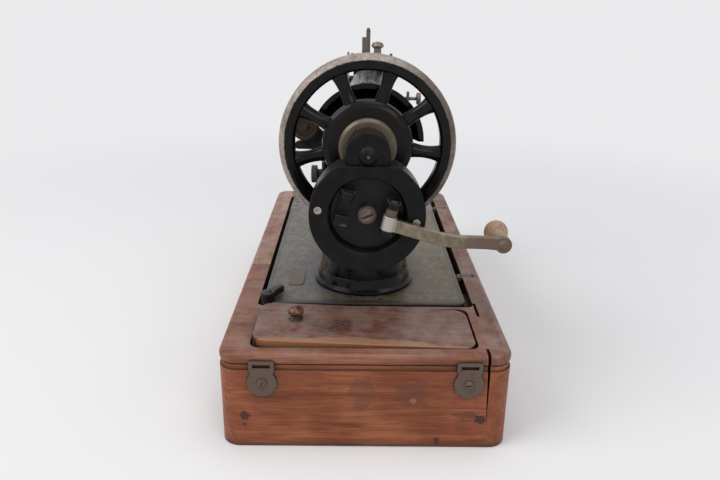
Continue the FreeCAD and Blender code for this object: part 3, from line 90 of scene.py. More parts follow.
# Node helper
class Paint:
    """Builds one material. Each method adds a node and hands back its output."""

    def __init__(self, name):
        self.material = bpy.data.materials.new(name)
        self.material.use_nodes = True
        self.tree = self.material.node_tree
        self.tree.nodes.clear()
        output = self.tree.nodes.new("ShaderNodeOutputMaterial")
        self.shader = self.tree.nodes.new("ShaderNodeBsdfPrincipled")
        self.tree.links.new(self.shader.outputs[0], output.inputs["Surface"])
        self.where = self.tree.nodes.new("ShaderNodeTexCoord").outputs["Object"]

    def feed(self, socket, value):
        if isinstance(value, bpy.types.NodeSocket):
            self.tree.links.new(value, socket)
        elif hasattr(value, "__len__") and len(value) == 3 and socket.type == "RGBA":
            socket.default_value = (*value, 1.0)
        else:
            socket.default_value = value

    def node(self, kind, values=(), **settings):
        made = self.tree.nodes.new(kind)
        for key, value in settings.items():
            setattr(made, key, value)
        for key, value in dict(values).items():
            self.feed(made.inputs[key], value)
        return made

    def set(self, **values):
        for key, value in values.items():
            self.feed(self.shader.inputs[key.replace("_", " ")], value)

    def maths(self, operation, a, b=0.0, clamp=False):
        made = self.node("ShaderNodeMath", {0: a, 1: b}, operation=operation, use_clamp=clamp)
        return made.outputs[0]

    def vector(self, operation, a, b=(0, 0, 0), out=0):
        made = self.node("ShaderNodeVectorMath", {0: a, 1: b}, operation=operation)
        return made.outputs[out]

    def axis(self, name):
        if not hasattr(self, "parts"):
            self.parts = self.node("ShaderNodeSeparateXYZ", {0: self.where}).outputs
        return self.parts["XYZ".index(name)]

    def scaled(self, size, stretch=(1, 1, 1), shift=(0, 0, 0)):
        """Coordinates in which one step is `size`, longer along a stretched axis."""
        factor = tuple(1.0 / (size * s) for s in stretch)
        return self.vector("ADD", self.vector("MULTIPLY", self.where, factor), shift)

    def noise(self, size, stretch=(1, 1, 1), detail=3.0, rough=0.55, warp=0.0, shift=(0, 0, 0)):
        values = {"Vector": self.scaled(size, stretch, shift), "Scale": 1.0, "Detail": detail,
                  "Roughness": rough, "Distortion": warp}
        return self.node("ShaderNodeTexNoise", values).outputs[0]

    def waves(self, size, direction="X", warp=0.0, detail=2.0, stretch=(1, 1, 1)):
        values = {"Vector": self.scaled(size, stretch), "Scale": 1.0, "Distortion": warp,
                  "Detail": detail, "Detail Scale": 1.0}
        made = self.node("ShaderNodeTexWave", values, bands_direction=direction)
        return made.outputs["Fac"]

    def level(self, value, low, high, to_low=0.0, to_high=1.0):
        """Turns low..high into to_low..to_high with soft ends."""
        values = {"Value": value, "From Min": low, "From Max": high, "To Min": to_low, "To Max": to_high}
        return self.node("ShaderNodeMapRange", values, interpolation_type="SMOOTHSTEP").outputs[0]

    def ramp(self, factor, stops):
        made = self.node("ShaderNodeValToRGB", {0: factor})
        elements = made.color_ramp.elements
        while len(elements) < len(stops):
            elements.new(0.5)
        for element, (place, colour) in zip(elements, stops):
            element.position = place
            element.color = (*colour, 1.0)
        return made.outputs[0]

    def mix(self, factor, a, b, blend="MIX"):
        made = self.node("ShaderNodeMix", data_type="RGBA", blend_type=blend)
        self.feed(made.inputs[0], factor)
        self.feed(made.inputs[6], a)
        self.feed(made.inputs[7], b)
        return made.outputs[2]

    def lay(self, under, mask, share, tone):
        """A tone laid over a colour where mask is 1, as strongly as share says."""
        return self.mix(self.maths("MULTIPLY", mask, share), under, tone)

    def both(self, a, b):
        return self.maths("MULTIPLY", a, b)

    def rounded(self, radius):
        """The normal with its edges rounded by radius."""
        return self.node("ShaderNodeBevel", {"Radius": radius}, samples=4).outputs[0]

    def edges(self, radius, low=0.02, high=0.25):
        """1 on sharp edges, from how far a rounded normal leans from the true one."""
        flat = self.node("ShaderNodeNewGeometry").outputs["Normal"]
        lean = self.vector("DOT_PRODUCT", self.rounded(radius), flat, out=1)
        return self.level(self.maths("SUBTRACT", 1.0, lean), low, high)

    def hollows(self, reach, low=0.55, high=1.0):
        """1 in corners and under things, 0 in the open."""
        made = self.node("ShaderNodeAmbientOcclusion", {"Distance": reach}, samples=6)
        return self.level(made.outputs["AO"], low, high, 1.0, 0.0)

    def upward(self, low=0.35, high=0.95):
        normal = self.node("ShaderNodeNewGeometry").outputs["Normal"]
        z = self.node("ShaderNodeSeparateXYZ", {0: normal}).outputs[2]
        return self.level(z, low, high)

    def near(self, centre, radius, soft=0.5, squeeze=(1, 1, 1), ragged=0.3):
        """1 round a place, with a ragged soft border."""
        offset = self.vector("SUBTRACT", self.where, tuple(centre))
        offset = self.vector("MULTIPLY", offset, squeeze)
        far = self.vector("LENGTH", offset, out=1)
        wobble = self.maths("MULTIPLY", self.maths("SUBTRACT", self.noise(radius * 0.7, detail=4), 0.5),
                            radius * ragged * 2)
        return self.level(self.maths("ADD", far, wobble), radius * (1 - soft), radius, 1.0, 0.0)

    def band(self, value, centre, half, soft):
        """1 where value lies within half of centre."""
        off = self.maths("ABSOLUTE", self.maths("SUBTRACT", value, centre))
        return self.level(off, half - soft / 2, half + soft / 2, 1.0, 0.0)

    def from_axis(self, y, z):
        """Distance from a line along X."""
        offset = self.vector("SUBTRACT", self.where, (0, y, z))
        offset = self.vector("MULTIPLY", offset, (0, 1, 1))
        return self.vector("LENGTH", offset, out=1)

    def bump(self, height, depth, strength=1.0, round_by=0.0):
        made = self.node("ShaderNodeBump", {"Height": height, "Distance": depth, "Strength": strength})
        if round_by:
            self.feed(made.inputs["Normal"], self.rounded(round_by))
        self.set(Normal=made.outputs[0])


# Woods
def wood(name, along, tones, gloss=0.42, dust=0.0, dust_tone=(0.30, 0.25, 0.22), stains=(), edge_tone=None,
         figure=0.014, shift=(0, 0, 0), raw_end=None):
    """Old varnished wood with its grain along X, Y or Z. tones run dark, middle, light."""
    p = Paint(name)
    grain = tuple(14.0 if axis == along else 1.0 for axis in "XYZ")
    long_grain = tuple(26.0 if axis == along else 1.0 for axis in "XYZ")
    figure_wave = p.noise(figure, grain, detail=3, warp=1.6, shift=shift)
    fibres = p.noise(0.0011, long_grain, detail=4, rough=0.7)
    pores = p.level(p.noise(0.00065, tuple(g * 0.6 for g in grain), detail=1), 0.66, 0.78)
    patches = p.noise(0.055, detail=3, shift=shift)
    colour = p.ramp(p.maths("ADD", p.maths("MULTIPLY", figure_wave, 0.55), p.maths("MULTIPLY", fibres, 0.45)),
                    [(0.34, tones[0]), (0.50, tones[1]), (0.66, tones[2])])
    colour = p.mix(p.level(patches, 0.40, 0.62), colour, p.mix(1.0, colour, (0.74, 0.66, 0.60), "MULTIPLY"))
    streaks = p.level(p.noise(0.0022, long_grain, detail=5, rough=0.75, shift=(1, 8, 3)), 0.56, 0.68)
    colour = p.lay(colour, streaks, 0.45, tones[0])
    marks = p.level(p.noise(0.006, detail=7, rough=0.85, shift=(8, 2, 6)), 0.60, 0.68)
    colour = p.lay(colour, marks, 0.30, tuple(t * 0.55 for t in tones[0]))
    colour = p.lay(colour, pores, 0.55, tuple(t * 0.35 for t in tones[0]))
    for place, radius, squeeze, tone, share in stains:
        colour = p.lay(colour, p.near(place, radius, 0.35, squeeze, 0.8), share, tone)
    scuffs = p.level(p.noise(0.003, grain, detail=3, shift=(5, 5, 5)), 0.66, 0.80)
    colour = p.lay(colour, scuffs, 0.30, tones[2])
    wear = p.edges(0.0012)
    worn = p.both(wear, p.level(p.noise(0.008, detail=4), 0.35, 0.65))
    colour = p.lay(colour, worn, 0.75, edge_tone or tones[2])
    # Painted shade: the wood darkened in corners, joints and under parts, from ambient occlusion
    hollow_shade = p.hollows(0.008)
    colour = p.lay(colour, hollow_shade, 0.75, (0.035, 0.022, 0.016))
    if dust:
        drifts = p.noise(0.022, detail=8, rough=0.75, shift=(2, 9, 4))
        settled = p.both(p.upward(), p.level(drifts, 0.38, 0.62))
        colour = p.lay(colour, settled, dust, dust_tone)
    if raw_end is not None:
        beyond = p.level(p.axis("X"), raw_end - 0.0008, raw_end + 0.0008)
        bare = p.both(beyond, p.level(fibres, 0.30, 0.55, 0.6, 1.0))
        bare = p.both(bare, p.level(hollow_shade, 0.0, 1.0, 1.0, 0.45))
        colour = p.lay(colour, bare, 0.9, p.mix(fibres, (0.22, 0.085, 0.030), (0.46, 0.22, 0.10)))
    rough = p.level(p.noise(0.02, detail=4), 0.3, 0.7, gloss - 0.08, gloss + 0.14)
    p.set(Base_Color=colour, Roughness=rough)
    p.set(Specular_IOR_Level=0.26)
    height = p.maths("SUBTRACT", p.maths("MULTIPLY", fibres, 0.5), p.maths("MULTIPLY", pores, 0.8))
    p.bump(height, 0.00016, 0.8, round_by=0.0007)
    return p.material


SIDE_TONES = ((0.155, 0.042, 0.016), (0.275, 0.084, 0.036), (0.365, 0.135, 0.062))
TOP_TONES = ((0.085, 0.030, 0.018), (0.180, 0.078, 0.048), (0.27, 0.135, 0.090))
LIP_TONES = ((0.120, 0.038, 0.020), (0.235, 0.090, 0.052), (0.33, 0.15, 0.095))
LID_TONES = ((0.090, 0.032, 0.020), (0.165, 0.074, 0.050), (0.25, 0.13, 0.09))
FRONT_TONES = ((0.16, 0.070, 0.045), (0.28, 0.140, 0.095), (0.38, 0.22, 0.16))
INNER_TONES = ((0.10, 0.05, 0.03), (0.19, 0.105, 0.06), (0.27, 0.16, 0.10))
KNOB_TONES = ((0.04, 0.012, 0.006), (0.10, 0.032, 0.015), (0.19, 0.07, 0.03))
HANDLE_TONES = ((0.16, 0.085, 0.048), (0.29, 0.175, 0.105), (0.42, 0.28, 0.19))
RAW_EDGE = (0.38, 0.17, 0.075)
RAIL_STAIN = (0.05, 0.022, 0.015)
BLACK_STAIN = (0.018, 0.012, 0.010)


def near_board_wood():
    x = BASE_HIGH.x
    stains = [
        ((x, -0.090, 0.027), 0.0042, (1, 1, 0.8), BLACK_STAIN, 0.75),
        ((x, -0.0905, 0.020), 0.0020, (1, 1, 0.8), BLACK_STAIN, 0.5),
        ((x, 0.087, 0.025), 0.0042, (1, 0.8, 1), BLACK_STAIN, 0.8),
        ((x, 0.077, 0.029), 0.008, (1, 0.7, 2.2), BLACK_STAIN, 0.45),
        ((x, 0.055, 0.006), 0.003, (1, 1, 0.8), BLACK_STAIN, 0.7),
        ((x, 0.036, 0.047), 0.014, (1, 1, 1), (0.12, 0.045, 0.026), 0.55),
        ((x, -0.002, 0.047), 0.013, (1, 1, 0.8), (0.10, 0.040, 0.024), 0.45),
        ((x, 0.036, 0.041), 0.0028, (1, 1, 1), (0.40, 0.17, 0.085), 0.5),
    ]
    return wood("near_board_wood", "Y", SIDE_TONES, gloss=0.40, stains=stains, edge_tone=RAW_EDGE,
                figure=0.0065, shift=(0.3, 1.7, 4.1))


def lid_wood():
    top = LID_HIGH.z - 0.004
    middle = (LID_LOW.x + LID_HIGH.x) / 2
    stains = [
        ((middle + 0.004, -0.020, top), 0.017, (1.5, 1, 1), (0.050, 0.010, 0.007), 0.85),
        ((middle + 0.002, -0.038, top), 0.011, (1.3, 1, 1), (0.055, 0.013, 0.008), 0.70),
        ((middle - 0.004, 0.004, top), 0.010, (1.6, 0.8, 1), (0.080, 0.022, 0.014), 0.55),
        ((middle + 0.016, -0.060, top), 0.009, (1.0, 1, 1), (0.11, 0.022, 0.012), 0.7),
        ((middle + 0.014, -0.030, top), 0.016, (2.2, 1, 1), (0.045, 0.032, 0.028), 0.45),
        ((LID_LOW.x, 0.030, top), 0.030, (3.0, 0.6, 1), (0.055, 0.022, 0.015), 0.5),
        ((LID_HIGH.x - 0.004, 0.0, top), 0.016, (2.5, 0.25, 1), (0.36, 0.20, 0.12), 0.5),
        ((LID_HIGH.x - 0.002, -0.055, top), 0.012, (2.5, 0.4, 1), (0.34, 0.18, 0.10), 0.5),
    ]
    return wood("lid_wood", "Y", LID_TONES, gloss=0.36, dust=0.50, dust_tone=(0.27, 0.20, 0.17),
                stains=stains, edge_tone=RAW_EDGE, figure=0.009, raw_end=LID_HIGH.x - 0.0025)


def turned_wood(name, tones, gloss, stretch):
    """Turned handle wood with its grain along the turning axis, worn and greasy, with painted shade in its
    hollows.
    """
    p = Paint(name)
    grain = p.noise(0.006, (1, 1, 1), detail=4, warp=1.0)
    streaks = p.noise(0.0012, stretch, detail=3)
    colour = p.ramp(p.maths("ADD", p.maths("MULTIPLY", grain, 0.6), p.maths("MULTIPLY", streaks, 0.4)),
                    [(0.32, tones[0]), (0.5, tones[1]), (0.68, tones[2])])
    # Painted shade: darker in hollows, from ambient occlusion
    colour = p.lay(colour, p.hollows(0.004), 0.7, (0.03, 0.014, 0.01))
    p.set(Base_Color=colour, Roughness=p.level(grain, 0.3, 0.7, gloss - 0.06, gloss + 0.1))
    p.bump(streaks, 0.00012, 0.7)
    return p.material


# Paints and metals
GOLD = (0.30, 0.22, 0.10)
KHAKI = (0.20, 0.165, 0.10)


def black_paint(name, gloss, specular, dust=0.15, wear=0.5, tone=(0.005, 0.005, 0.0055), flecks=None,
                rounding=0.0007, edge_tone=(0.11, 0.085, 0.065)):
    """Old black enamel: fine orange peel, dust on what faces up, brown metal at worn edges."""
    p = Paint(name)
    mottle = p.noise(0.012, detail=4)
    colour = p.mix(p.level(mottle, 0.4, 0.7), tone, tuple(t * 1.7 + 0.001 for t in tone))
    if flecks:
        colour = flecks(p, colour)
    settled = p.both(p.upward(0.25, 0.98), p.level(p.noise(0.01, detail=5, rough=0.7), 0.3, 0.7))
    colour = p.lay(colour, settled, dust, (0.22, 0.19, 0.16))
    rubbed = p.both(p.edges(0.0009, 0.05, 0.35), p.level(p.noise(0.005, detail=4), 0.42, 0.62))
    colour = p.lay(colour, rubbed, wear, edge_tone)
    specks = p.level(p.noise(0.0012, detail=1), 0.74, 0.80)
    colour = p.lay(colour, specks, 0.25, (0.16, 0.12, 0.09))
    rough = p.maths("ADD", p.level(mottle, 0.3, 0.7, gloss - 0.04, gloss + 0.06),
                    p.maths("MULTIPLY", settled, 0.25))
    p.set(Base_Color=colour, Roughness=rough)
    p.set(Specular_IOR_Level=specular)
    p.bump(p.noise(0.0022, detail=2), 0.00005, 0.4, round_by=rounding)
    return p.material


def metal(name, tone, rust_tone, rust, gloss=0.35, metallic=1.0, grain=0.0015, edge_highlight=0.4):
    """Old plated or plain metal: fine scratches, rust and brown skin in patches, a painted highlight on the
    edges and painted shade in hollows.
    """
    p = Paint(name)
    patches = p.noise(0.007, detail=6, rough=0.7)
    fine = p.noise(grain, detail=3, rough=0.7)
    rusty = p.level(p.maths("ADD", p.maths("MULTIPLY", patches, 0.65), p.maths("MULTIPLY", fine, 0.35)),
                    0.62 - 0.35 * rust, 0.80 - 0.35 * rust)
    skin = p.mix(fine, tone, tuple(t * 0.6 for t in tone))
    dark_rust = tuple(t * 0.45 for t in rust_tone)
    colour = p.mix(rusty, skin, p.mix(p.level(fine, 0.35, 0.65), rust_tone, dark_rust))
    # Painted highlight: the edges lighter than the metal's own tone
    edge_highlight_mask = p.edges(0.0006, 0.04, 0.3)
    colour = p.lay(colour, edge_highlight_mask, edge_highlight, tuple(min(1.0, t * 1.5) for t in tone))
    # Painted shade: darker in hollows, from ambient occlusion
    colour = p.lay(colour, p.hollows(0.003), 0.6, tuple(t * 0.12 for t in tone))
    p.set(Base_Color=colour, Roughness=p.maths("ADD", p.level(patches, 0.3, 0.7, gloss, gloss + 0.15),
                                               p.maths("MULTIPLY", rusty, 0.25)))
    p.set(Metallic=p.maths("MULTIPLY", p.maths("SUBTRACT", 1.0, p.maths("MULTIPLY", rusty, 0.8)), metallic))
    p.bump(p.maths("ADD", p.maths("MULTIPLY", fine, 0.4), p.maths("MULTIPLY", rusty, 0.6)), 0.00012, 0.7,
           round_by=0.0004)
    return p.material


def scrollwork(p, size, low, high):
    """A generic worn scroll pattern: warped rings cut by noise."""
    rings = p.waves(size, "DIAGONAL", warp=7.0, detail=2.5)
    curls = p.level(rings, low, high)
    left = p.level(p.noise(size * 2.2, detail=5, rough=0.75), 0.42, 0.58)
    return p.both(curls, left)


def bed_paint():
    """Black enamel with a painted grey reflection on one side and warm on the other, with a worn generic gold
    border and painted shade in hollows.
    """
    p = Paint("bed_paint")
    x = p.axis("X")
    y = p.axis("Y")
    half_y = (BED_HIGH.y - BED_LOW.y) / 2
    middle_y = (BED_HIGH.y + BED_LOW.y) / 2
    from_side = p.maths("SUBTRACT", half_y, p.maths("ABSOLUTE", p.maths("SUBTRACT", y, middle_y)))
    from_end = p.maths("SUBTRACT", BED_HIGH.x, x)
    from_far = p.maths("SUBTRACT", x, BED_LOW.x)
    inset = p.maths("MINIMUM", from_side, p.maths("MINIMUM", from_end, from_far))
    mottle = p.noise(0.02, detail=5, rough=0.65)
    fine = p.noise(0.0013, detail=3, rough=0.7)
    colour = p.mix(p.level(mottle, 0.35, 0.7), (0.016, 0.015, 0.0145), (0.034, 0.032, 0.029))
    veil = p.level(p.noise(0.035, detail=6, rough=0.7, shift=(3, 3, 3)), 0.25, 0.75, 0.45, 1.0)
    top = p.both(p.upward(), veil)
    # Painted reflection: a pale grey sheen on the upward faces of the bed's -Y half
    painted_sheen = p.both(top, p.level(y, middle_y - 0.005, BED_LOW.y + 0.035))
    colour = p.lay(colour, painted_sheen, 0.62, (0.150, 0.148, 0.155))
    warm = p.both(top, p.level(y, middle_y + 0.010, BED_HIGH.y - 0.030))
    colour = p.lay(colour, warm, 0.55, (0.170, 0.135, 0.092))
    border = p.both(p.level(inset, 0.003, 0.007), p.level(inset, 0.046, 0.024))
    cloud = p.level(p.noise(0.0075, detail=7, rough=0.8), 0.47, 0.60)
    flecks = p.both(cloud, p.level(p.noise(0.0019, detail=4, rough=0.75), 0.46, 0.60))
    colour = p.lay(colour, p.both(border, flecks), 0.85, KHAKI)
    scroll = p.both(border, scrollwork(p, 0.0026, 0.50, 0.70))
    colour = p.lay(colour, scroll, 0.60, GOLD)
    line = p.both(p.band(inset, 0.0055, 0.0004, 0.0004), p.level(p.noise(0.006, detail=4), 0.46, 0.58))
    colour = p.lay(colour, line, 0.5, GOLD)
    pad = p.both(p.band(x, BADGE_PAD[0], BADGE_HALF[0], 0.001),
                 p.band(y, BADGE_PAD[1], BADGE_HALF[1], 0.001))
    colour = p.mix(p.both(pad, p.upward()), colour, p.mix(fine, (0.085, 0.055, 0.042), (0.13, 0.09, 0.07)))
    speck = p.level(p.noise(0.0010, detail=1, shift=(7, 7, 7)), 0.70, 0.78)
    colour = p.lay(colour, speck, 0.35, (0.22, 0.20, 0.17))
    near_edge = p.both(p.level(from_end, 0.012, 0.002), p.upward())
    colour = p.lay(colour, near_edge, 0.6, (0.040, 0.034, 0.026))
    # Painted shade: darker in hollows and where parts stand on the bed, from ambient occlusion
    colour = p.lay(colour, p.hollows(0.02, 0.4, 0.95), 0.6, (0.012, 0.011, 0.010))
    rubbed = p.both(p.edges(0.001), p.level(p.noise(0.006, detail=4), 0.45, 0.6))
    colour = p.lay(colour, rubbed, 0.5, (0.12, 0.10, 0.085))
    p.set(Base_Color=colour, Roughness=p.level(mottle, 0.3, 0.7, 0.32, 0.46))
    p.set(Specular_IOR_Level=0.32)
    p.bump(p.maths("ADD", fine, p.maths("MULTIPLY", scroll, 0.5)), 0.00007, 0.6, round_by=0.0012)
    return p.material


def arm_flecks(p, colour):
    """Worn gold low on the pillar's sides, and the dotted gold line on the wheel guard's edge."""
    x = p.axis("X")
    y = p.axis("Y")
    z = p.axis("Z")
    low = p.both(p.level(z, BED_HIGH.z + 0.006, BED_HIGH.z + 0.012), p.level(z, 0.125, 0.100))
    sides = p.level(p.maths("ABSOLUTE", y), 0.027, 0.033)
    zone = p.both(p.both(low, sides), p.level(x, 0.070, 0.080))
    pattern = scrollwork(p, 0.0030, 0.50, 0.68)
    colour = p.lay(colour, p.both(zone, pattern), 0.45, GOLD)
    radius = p.from_axis(SHAFT_Y, SHAFT_Z)
    edge = p.both(p.band(x, HOOD_FRONT - 0.002, 0.0010, 0.0005), p.band(radius, HOOD_R, 0.0028, 0.0006))
    edge = p.both(edge, p.level(z, SHAFT_Z - 0.004, SHAFT_Z))
    angle = p.maths("ARCTAN2", p.maths("SUBTRACT", y, SHAFT_Y), p.maths("SUBTRACT", z, SHAFT_Z))
    dots = p.level(p.maths("SINE", p.maths("MULTIPLY", angle, 110.0)), -0.2, 0.2)
    return p.lay(colour, p.both(edge, dots), 0.7, GOLD)


def disc_flecks(p, colour):
    """Brown skin and worn spots on the crank disc's brackets, and a painted highlight along their upward
    edges.
    """
    stands_out = p.level(p.axis("X"), DISC_FACE - 0.0005, DISC_FACE + 0.0005)
    spots = (((0.186, -0.0184, CRANK_Z - 0.0085), 0.0050), ((0.186, -0.0160, CRANK_Z + 0.0070), 0.0040),
             ((0.186, 0.0166, CRANK_Z - 0.0150), 0.0050), ((0.186, 0.0180, CRANK_Z - 0.0010), 0.0030))
    for place, radius in spots:
        worn = p.both(stands_out, p.near(place, radius, 0.6, (0.4, 1, 1), 0.5))
        colour = p.lay(colour, worn, 0.8, (0.115, 0.062, 0.045))
    # Painted highlight: pale grey along the brackets' upward edges
    ridge_highlight = p.both(p.both(stands_out, p.upward(0.4, 0.9)), p.edges(0.0011, 0.04, 0.22))
    return p.lay(colour, ridge_highlight, 0.8, (0.30, 0.29, 0.29))


def wheel_finish():
    """Black enamel inside, a nickelled band worn to the brass and rust outside, with painted shade on the
    band's +Y side.
    """
    p = Paint("wheel_finish")
    radius = p.from_axis(SHAFT_Y, SHAFT_Z)
    ragged = p.maths("MULTIPLY", p.maths("SUBTRACT", p.noise(0.004, detail=5, rough=0.7), 0.5), 0.0020)
    border = WHEEL_R - NICKEL_BAND
    plated = p.level(p.maths("ADD", radius, ragged), border - 0.0004, border + 0.0004)
    fine = p.noise(0.0011, detail=3, rough=0.8)
    patches = p.noise(0.010, detail=6, rough=0.7)
    nickel = p.mix(p.level(patches, 0.35, 0.65), (0.40, 0.35, 0.32), (0.23, 0.19, 0.16))
    nickel = p.mix(p.level(fine, 0.52, 0.68), nickel, (0.17, 0.10, 0.075))
    # Painted shade: the nickel band darker and browner on its +Y side, in patches
    shaded_side = p.both(p.level(p.axis("Y"), 0.005, 0.045), p.level(patches, 0.25, 0.60, 0.6, 1.0))
    nickel = p.lay(nickel, shaded_side, 0.75, (0.085, 0.066, 0.052))
    black = p.mix(p.level(p.noise(0.012, detail=4), 0.4, 0.7), (0.003, 0.003, 0.0033),
                  (0.007, 0.0066, 0.0066))
    hub = p.band(radius, HUB_RING_R, 0.0045, 0.002)
    black = p.lay(black, hub, 0.8, (0.007, 0.0045, 0.0035))
    rub = p.both(p.edges(0.001, 0.05, 0.35), p.level(p.noise(0.005, detail=4), 0.47, 0.64))
    black = p.lay(black, rub, 0.35, (0.14, 0.10, 0.08))
    dusty = p.both(p.upward(0.3, 0.98), p.level(p.noise(0.008, detail=5, rough=0.7), 0.3, 0.7))
    black = p.lay(black, dusty, 0.07, (0.2, 0.17, 0.14))
    p.set(Base_Color=p.mix(plated, black, nickel))
    p.set(Metallic=p.maths("MULTIPLY", plated, 0.45))
    smooth = p.level(p.noise(0.01, detail=3), 0.3, 0.7, 0.10, 0.18)
    smooth = p.maths("ADD", smooth, p.maths("MULTIPLY", hub, 0.15))
    p.set(Roughness=p.maths("ADD", smooth, p.maths("MULTIPLY", plated, 0.30)))
    p.set(Specular_IOR_Level=0.17)
    p.bump(p.maths("MULTIPLY", fine, plated), 0.00010, 0.8, round_by=0.0009)
    return p.material


def arm_metal():
    """The crank arm: a bright barrel, then brown-grey nickel that turns browner toward the handle, with a
    painted highlight on its edges.
    """
    p = Paint("arm_metal")
    y = p.axis("Y")
    fine = p.noise(0.0012, detail=3, rough=0.7)
    patches = p.noise(0.006, detail=6, rough=0.7)
    bare = p.mix(p.level(patches, 0.35, 0.65), (0.24, 0.205, 0.15), (0.15, 0.115, 0.070))
    brown = p.mix(fine, (0.085, 0.052, 0.036), (0.15, 0.10, 0.07))
    end = p.level(p.maths("ADD", y, p.maths("MULTIPLY", patches, 0.02)), 0.068, 0.092)
    colour = p.mix(end, bare, brown)
    offset = p.vector("SUBTRACT", p.where, FOLD_POINT)
    off_axis = p.vector("LENGTH", p.vector("CROSS_PRODUCT", offset, FOLD_AXIS), out=1)
    barrel = p.level(off_axis, BARREL_R + 0.0002, BARREL_R - 0.0002)
    colour = p.mix(barrel, colour, p.mix(fine, (0.47, 0.44, 0.40), (0.36, 0.33, 0.29)))
    # Painted highlight: the arm's edges lighter
    edge_highlight_mask = p.edges(0.0007, 0.04, 0.3)
    colour = p.lay(colour, edge_highlight_mask, 0.4, (0.50, 0.46, 0.38))
    p.set(Base_Color=colour, Roughness=p.level(patches, 0.3, 0.7, 0.30, 0.45))
    p.set(Metallic=p.maths("SUBTRACT", 0.65, p.maths("MULTIPLY", end, 0.4)))
    p.bump(fine, 0.00008, 0.6, round_by=0.0012)
    return p.material


def assign(names, material):
    for name in names.split():
        for slot in NODES[name].material_slots:
            slot.material = material


def dress_wood():
    front_stains = [((0.150, -0.098, RAIL_HIGH.z), 0.020, (0.6, 1, 1), RAIL_STAIN, 0.6),
                    ((0.045, -0.098, RAIL_HIGH.z), 0.003, (1, 0.3, 1), RAIL_STAIN, 0.7)]
    worn = {"edge_tone": RAW_EDGE}
    assign("near_end_board", near_board_wood())
    assign("far_end_board", wood("far_board_wood", "Y", SIDE_TONES, shift=(4, 2, 9), **worn))
    assign("front_side_board rear_side_board", wood("side_board_wood", "X", SIDE_TONES, **worn))
    assign("front_top_rail", wood("front_rail_wood", "X", FRONT_TONES, dust=0.45,
                                  dust_tone=(0.40, 0.30, 0.26), stains=front_stains, **worn))
    assign("rear_top_rail", wood("rear_rail_wood", "X", TOP_TONES, dust=0.40, shift=(2, 6, 1), **worn))
    assign("near_top_rail", wood("near_rail_wood", "Y", LIP_TONES, dust=0.30, shift=(5, 1, 2), **worn))
    assign("far_top_rail cross_rail", wood("cross_rail_wood", "Y", TOP_TONES, dust=0.40, **worn))
    assign("compartment_lid", lid_wood())
    assign("bottom_board support_blocks", wood("inner_wood", "X", INNER_TONES, gloss=0.7, dust=0.5))
    assign("partition_board", wood("partition_wood", "Y", INNER_TONES, gloss=0.7))
    assign("lid_knob", turned_wood("lid_knob_wood", KNOB_TONES, 0.22, (1, 1, 12)))
    assign("crank_knob", turned_wood("handle_wood", HANDLE_TONES, 0.42, (12, 1, 1)))


def dress_blacks():
    assign("bed", bed_paint())
    assign("arm", black_paint("black_japan", 0.12, 0.17, dust=0.06, tone=(0.0035, 0.0035, 0.004),
                              flecks=arm_flecks))
    assign("latch winder_bracket", black_paint("black_iron", 0.30, 0.28, dust=0.20, wear=0.8,
                                               tone=(0.012, 0.011, 0.010)))
    assign("crank_housing housing_cover", black_paint("black_satin", 0.30, 0.13, dust=0.05, wear=0.25,
                                                      tone=(0.0045, 0.0042, 0.0042), rounding=0.0012))
    assign("crank_disc drive_finger", black_paint("black_disc", 0.30, 0.16, dust=0.06, wear=0.7,
                                                  tone=(0.006, 0.0052, 0.005), flecks=disc_flecks))
    assign("handwheel", wheel_finish())


def dress_metals():
    assign("crank_arm", arm_metal())
    assign("catch_plates hinge_leaves hinge_pins lid_pins base_screws hinge_fingers",
           metal("dark_bronze", (0.15, 0.105, 0.082), (0.07, 0.04, 0.028), 0.25, gloss=0.45, metallic=0.55))
    assign("clutch_disc clutch_screw",
           metal("bronze", (0.135, 0.108, 0.072), (0.055, 0.038, 0.024), 0.25, gloss=0.36, metallic=0.5))
    assign("presser_screw tension_nut",
           metal("dull_brass", (0.24, 0.21, 0.15), (0.10, 0.075, 0.045), 0.35, metallic=0.6))
    assign("face_plate rear_cover needle_plate front_slide rear_slide tension_discs",
           metal("browned_nickel", (0.21, 0.19, 0.165), (0.085, 0.058, 0.040), 0.45, gloss=0.30,
                 metallic=0.7))
    assign("needle_bar needle presser_bar presser_foot take_up_lever presser_lifter main_shaft feed_dog "
           "shuttle_carrier pinion big_gear stitch_lever",
           metal("browned_steel", (0.17, 0.15, 0.135), (0.085, 0.055, 0.038), 0.45, gloss=0.32,
                 metallic=0.7))
    assign("stitch_knob", metal("knob_steel", (0.10, 0.085, 0.072), (0.05, 0.035, 0.026), 0.40, gloss=0.35,
                                metallic=0.6, edge_highlight=0.8))
    assign("arm_pin",
           metal("brown_pin", (0.15, 0.095, 0.070), (0.085, 0.045, 0.032), 0.45, gloss=0.38, metallic=0.5))
    assign("spool_pin head_bolts",
           metal("old_steel", (0.15, 0.125, 0.105), (0.08, 0.055, 0.040), 0.45, metallic=0.6))
    assign("head_screws",
           metal("screw_nickel", (0.40, 0.36, 0.31), (0.14, 0.10, 0.07), 0.30, gloss=0.35, metallic=0.6))
    assign("crank_screw",
           metal("rusty_steel", (0.19, 0.135, 0.115), (0.085, 0.05, 0.04), 0.5, gloss=0.45, metallic=0.5))
    assign("winder_pulley",
           metal("winder_iron", (0.085, 0.055, 0.035), (0.05, 0.028, 0.018), 0.5, gloss=0.4, metallic=0.5))


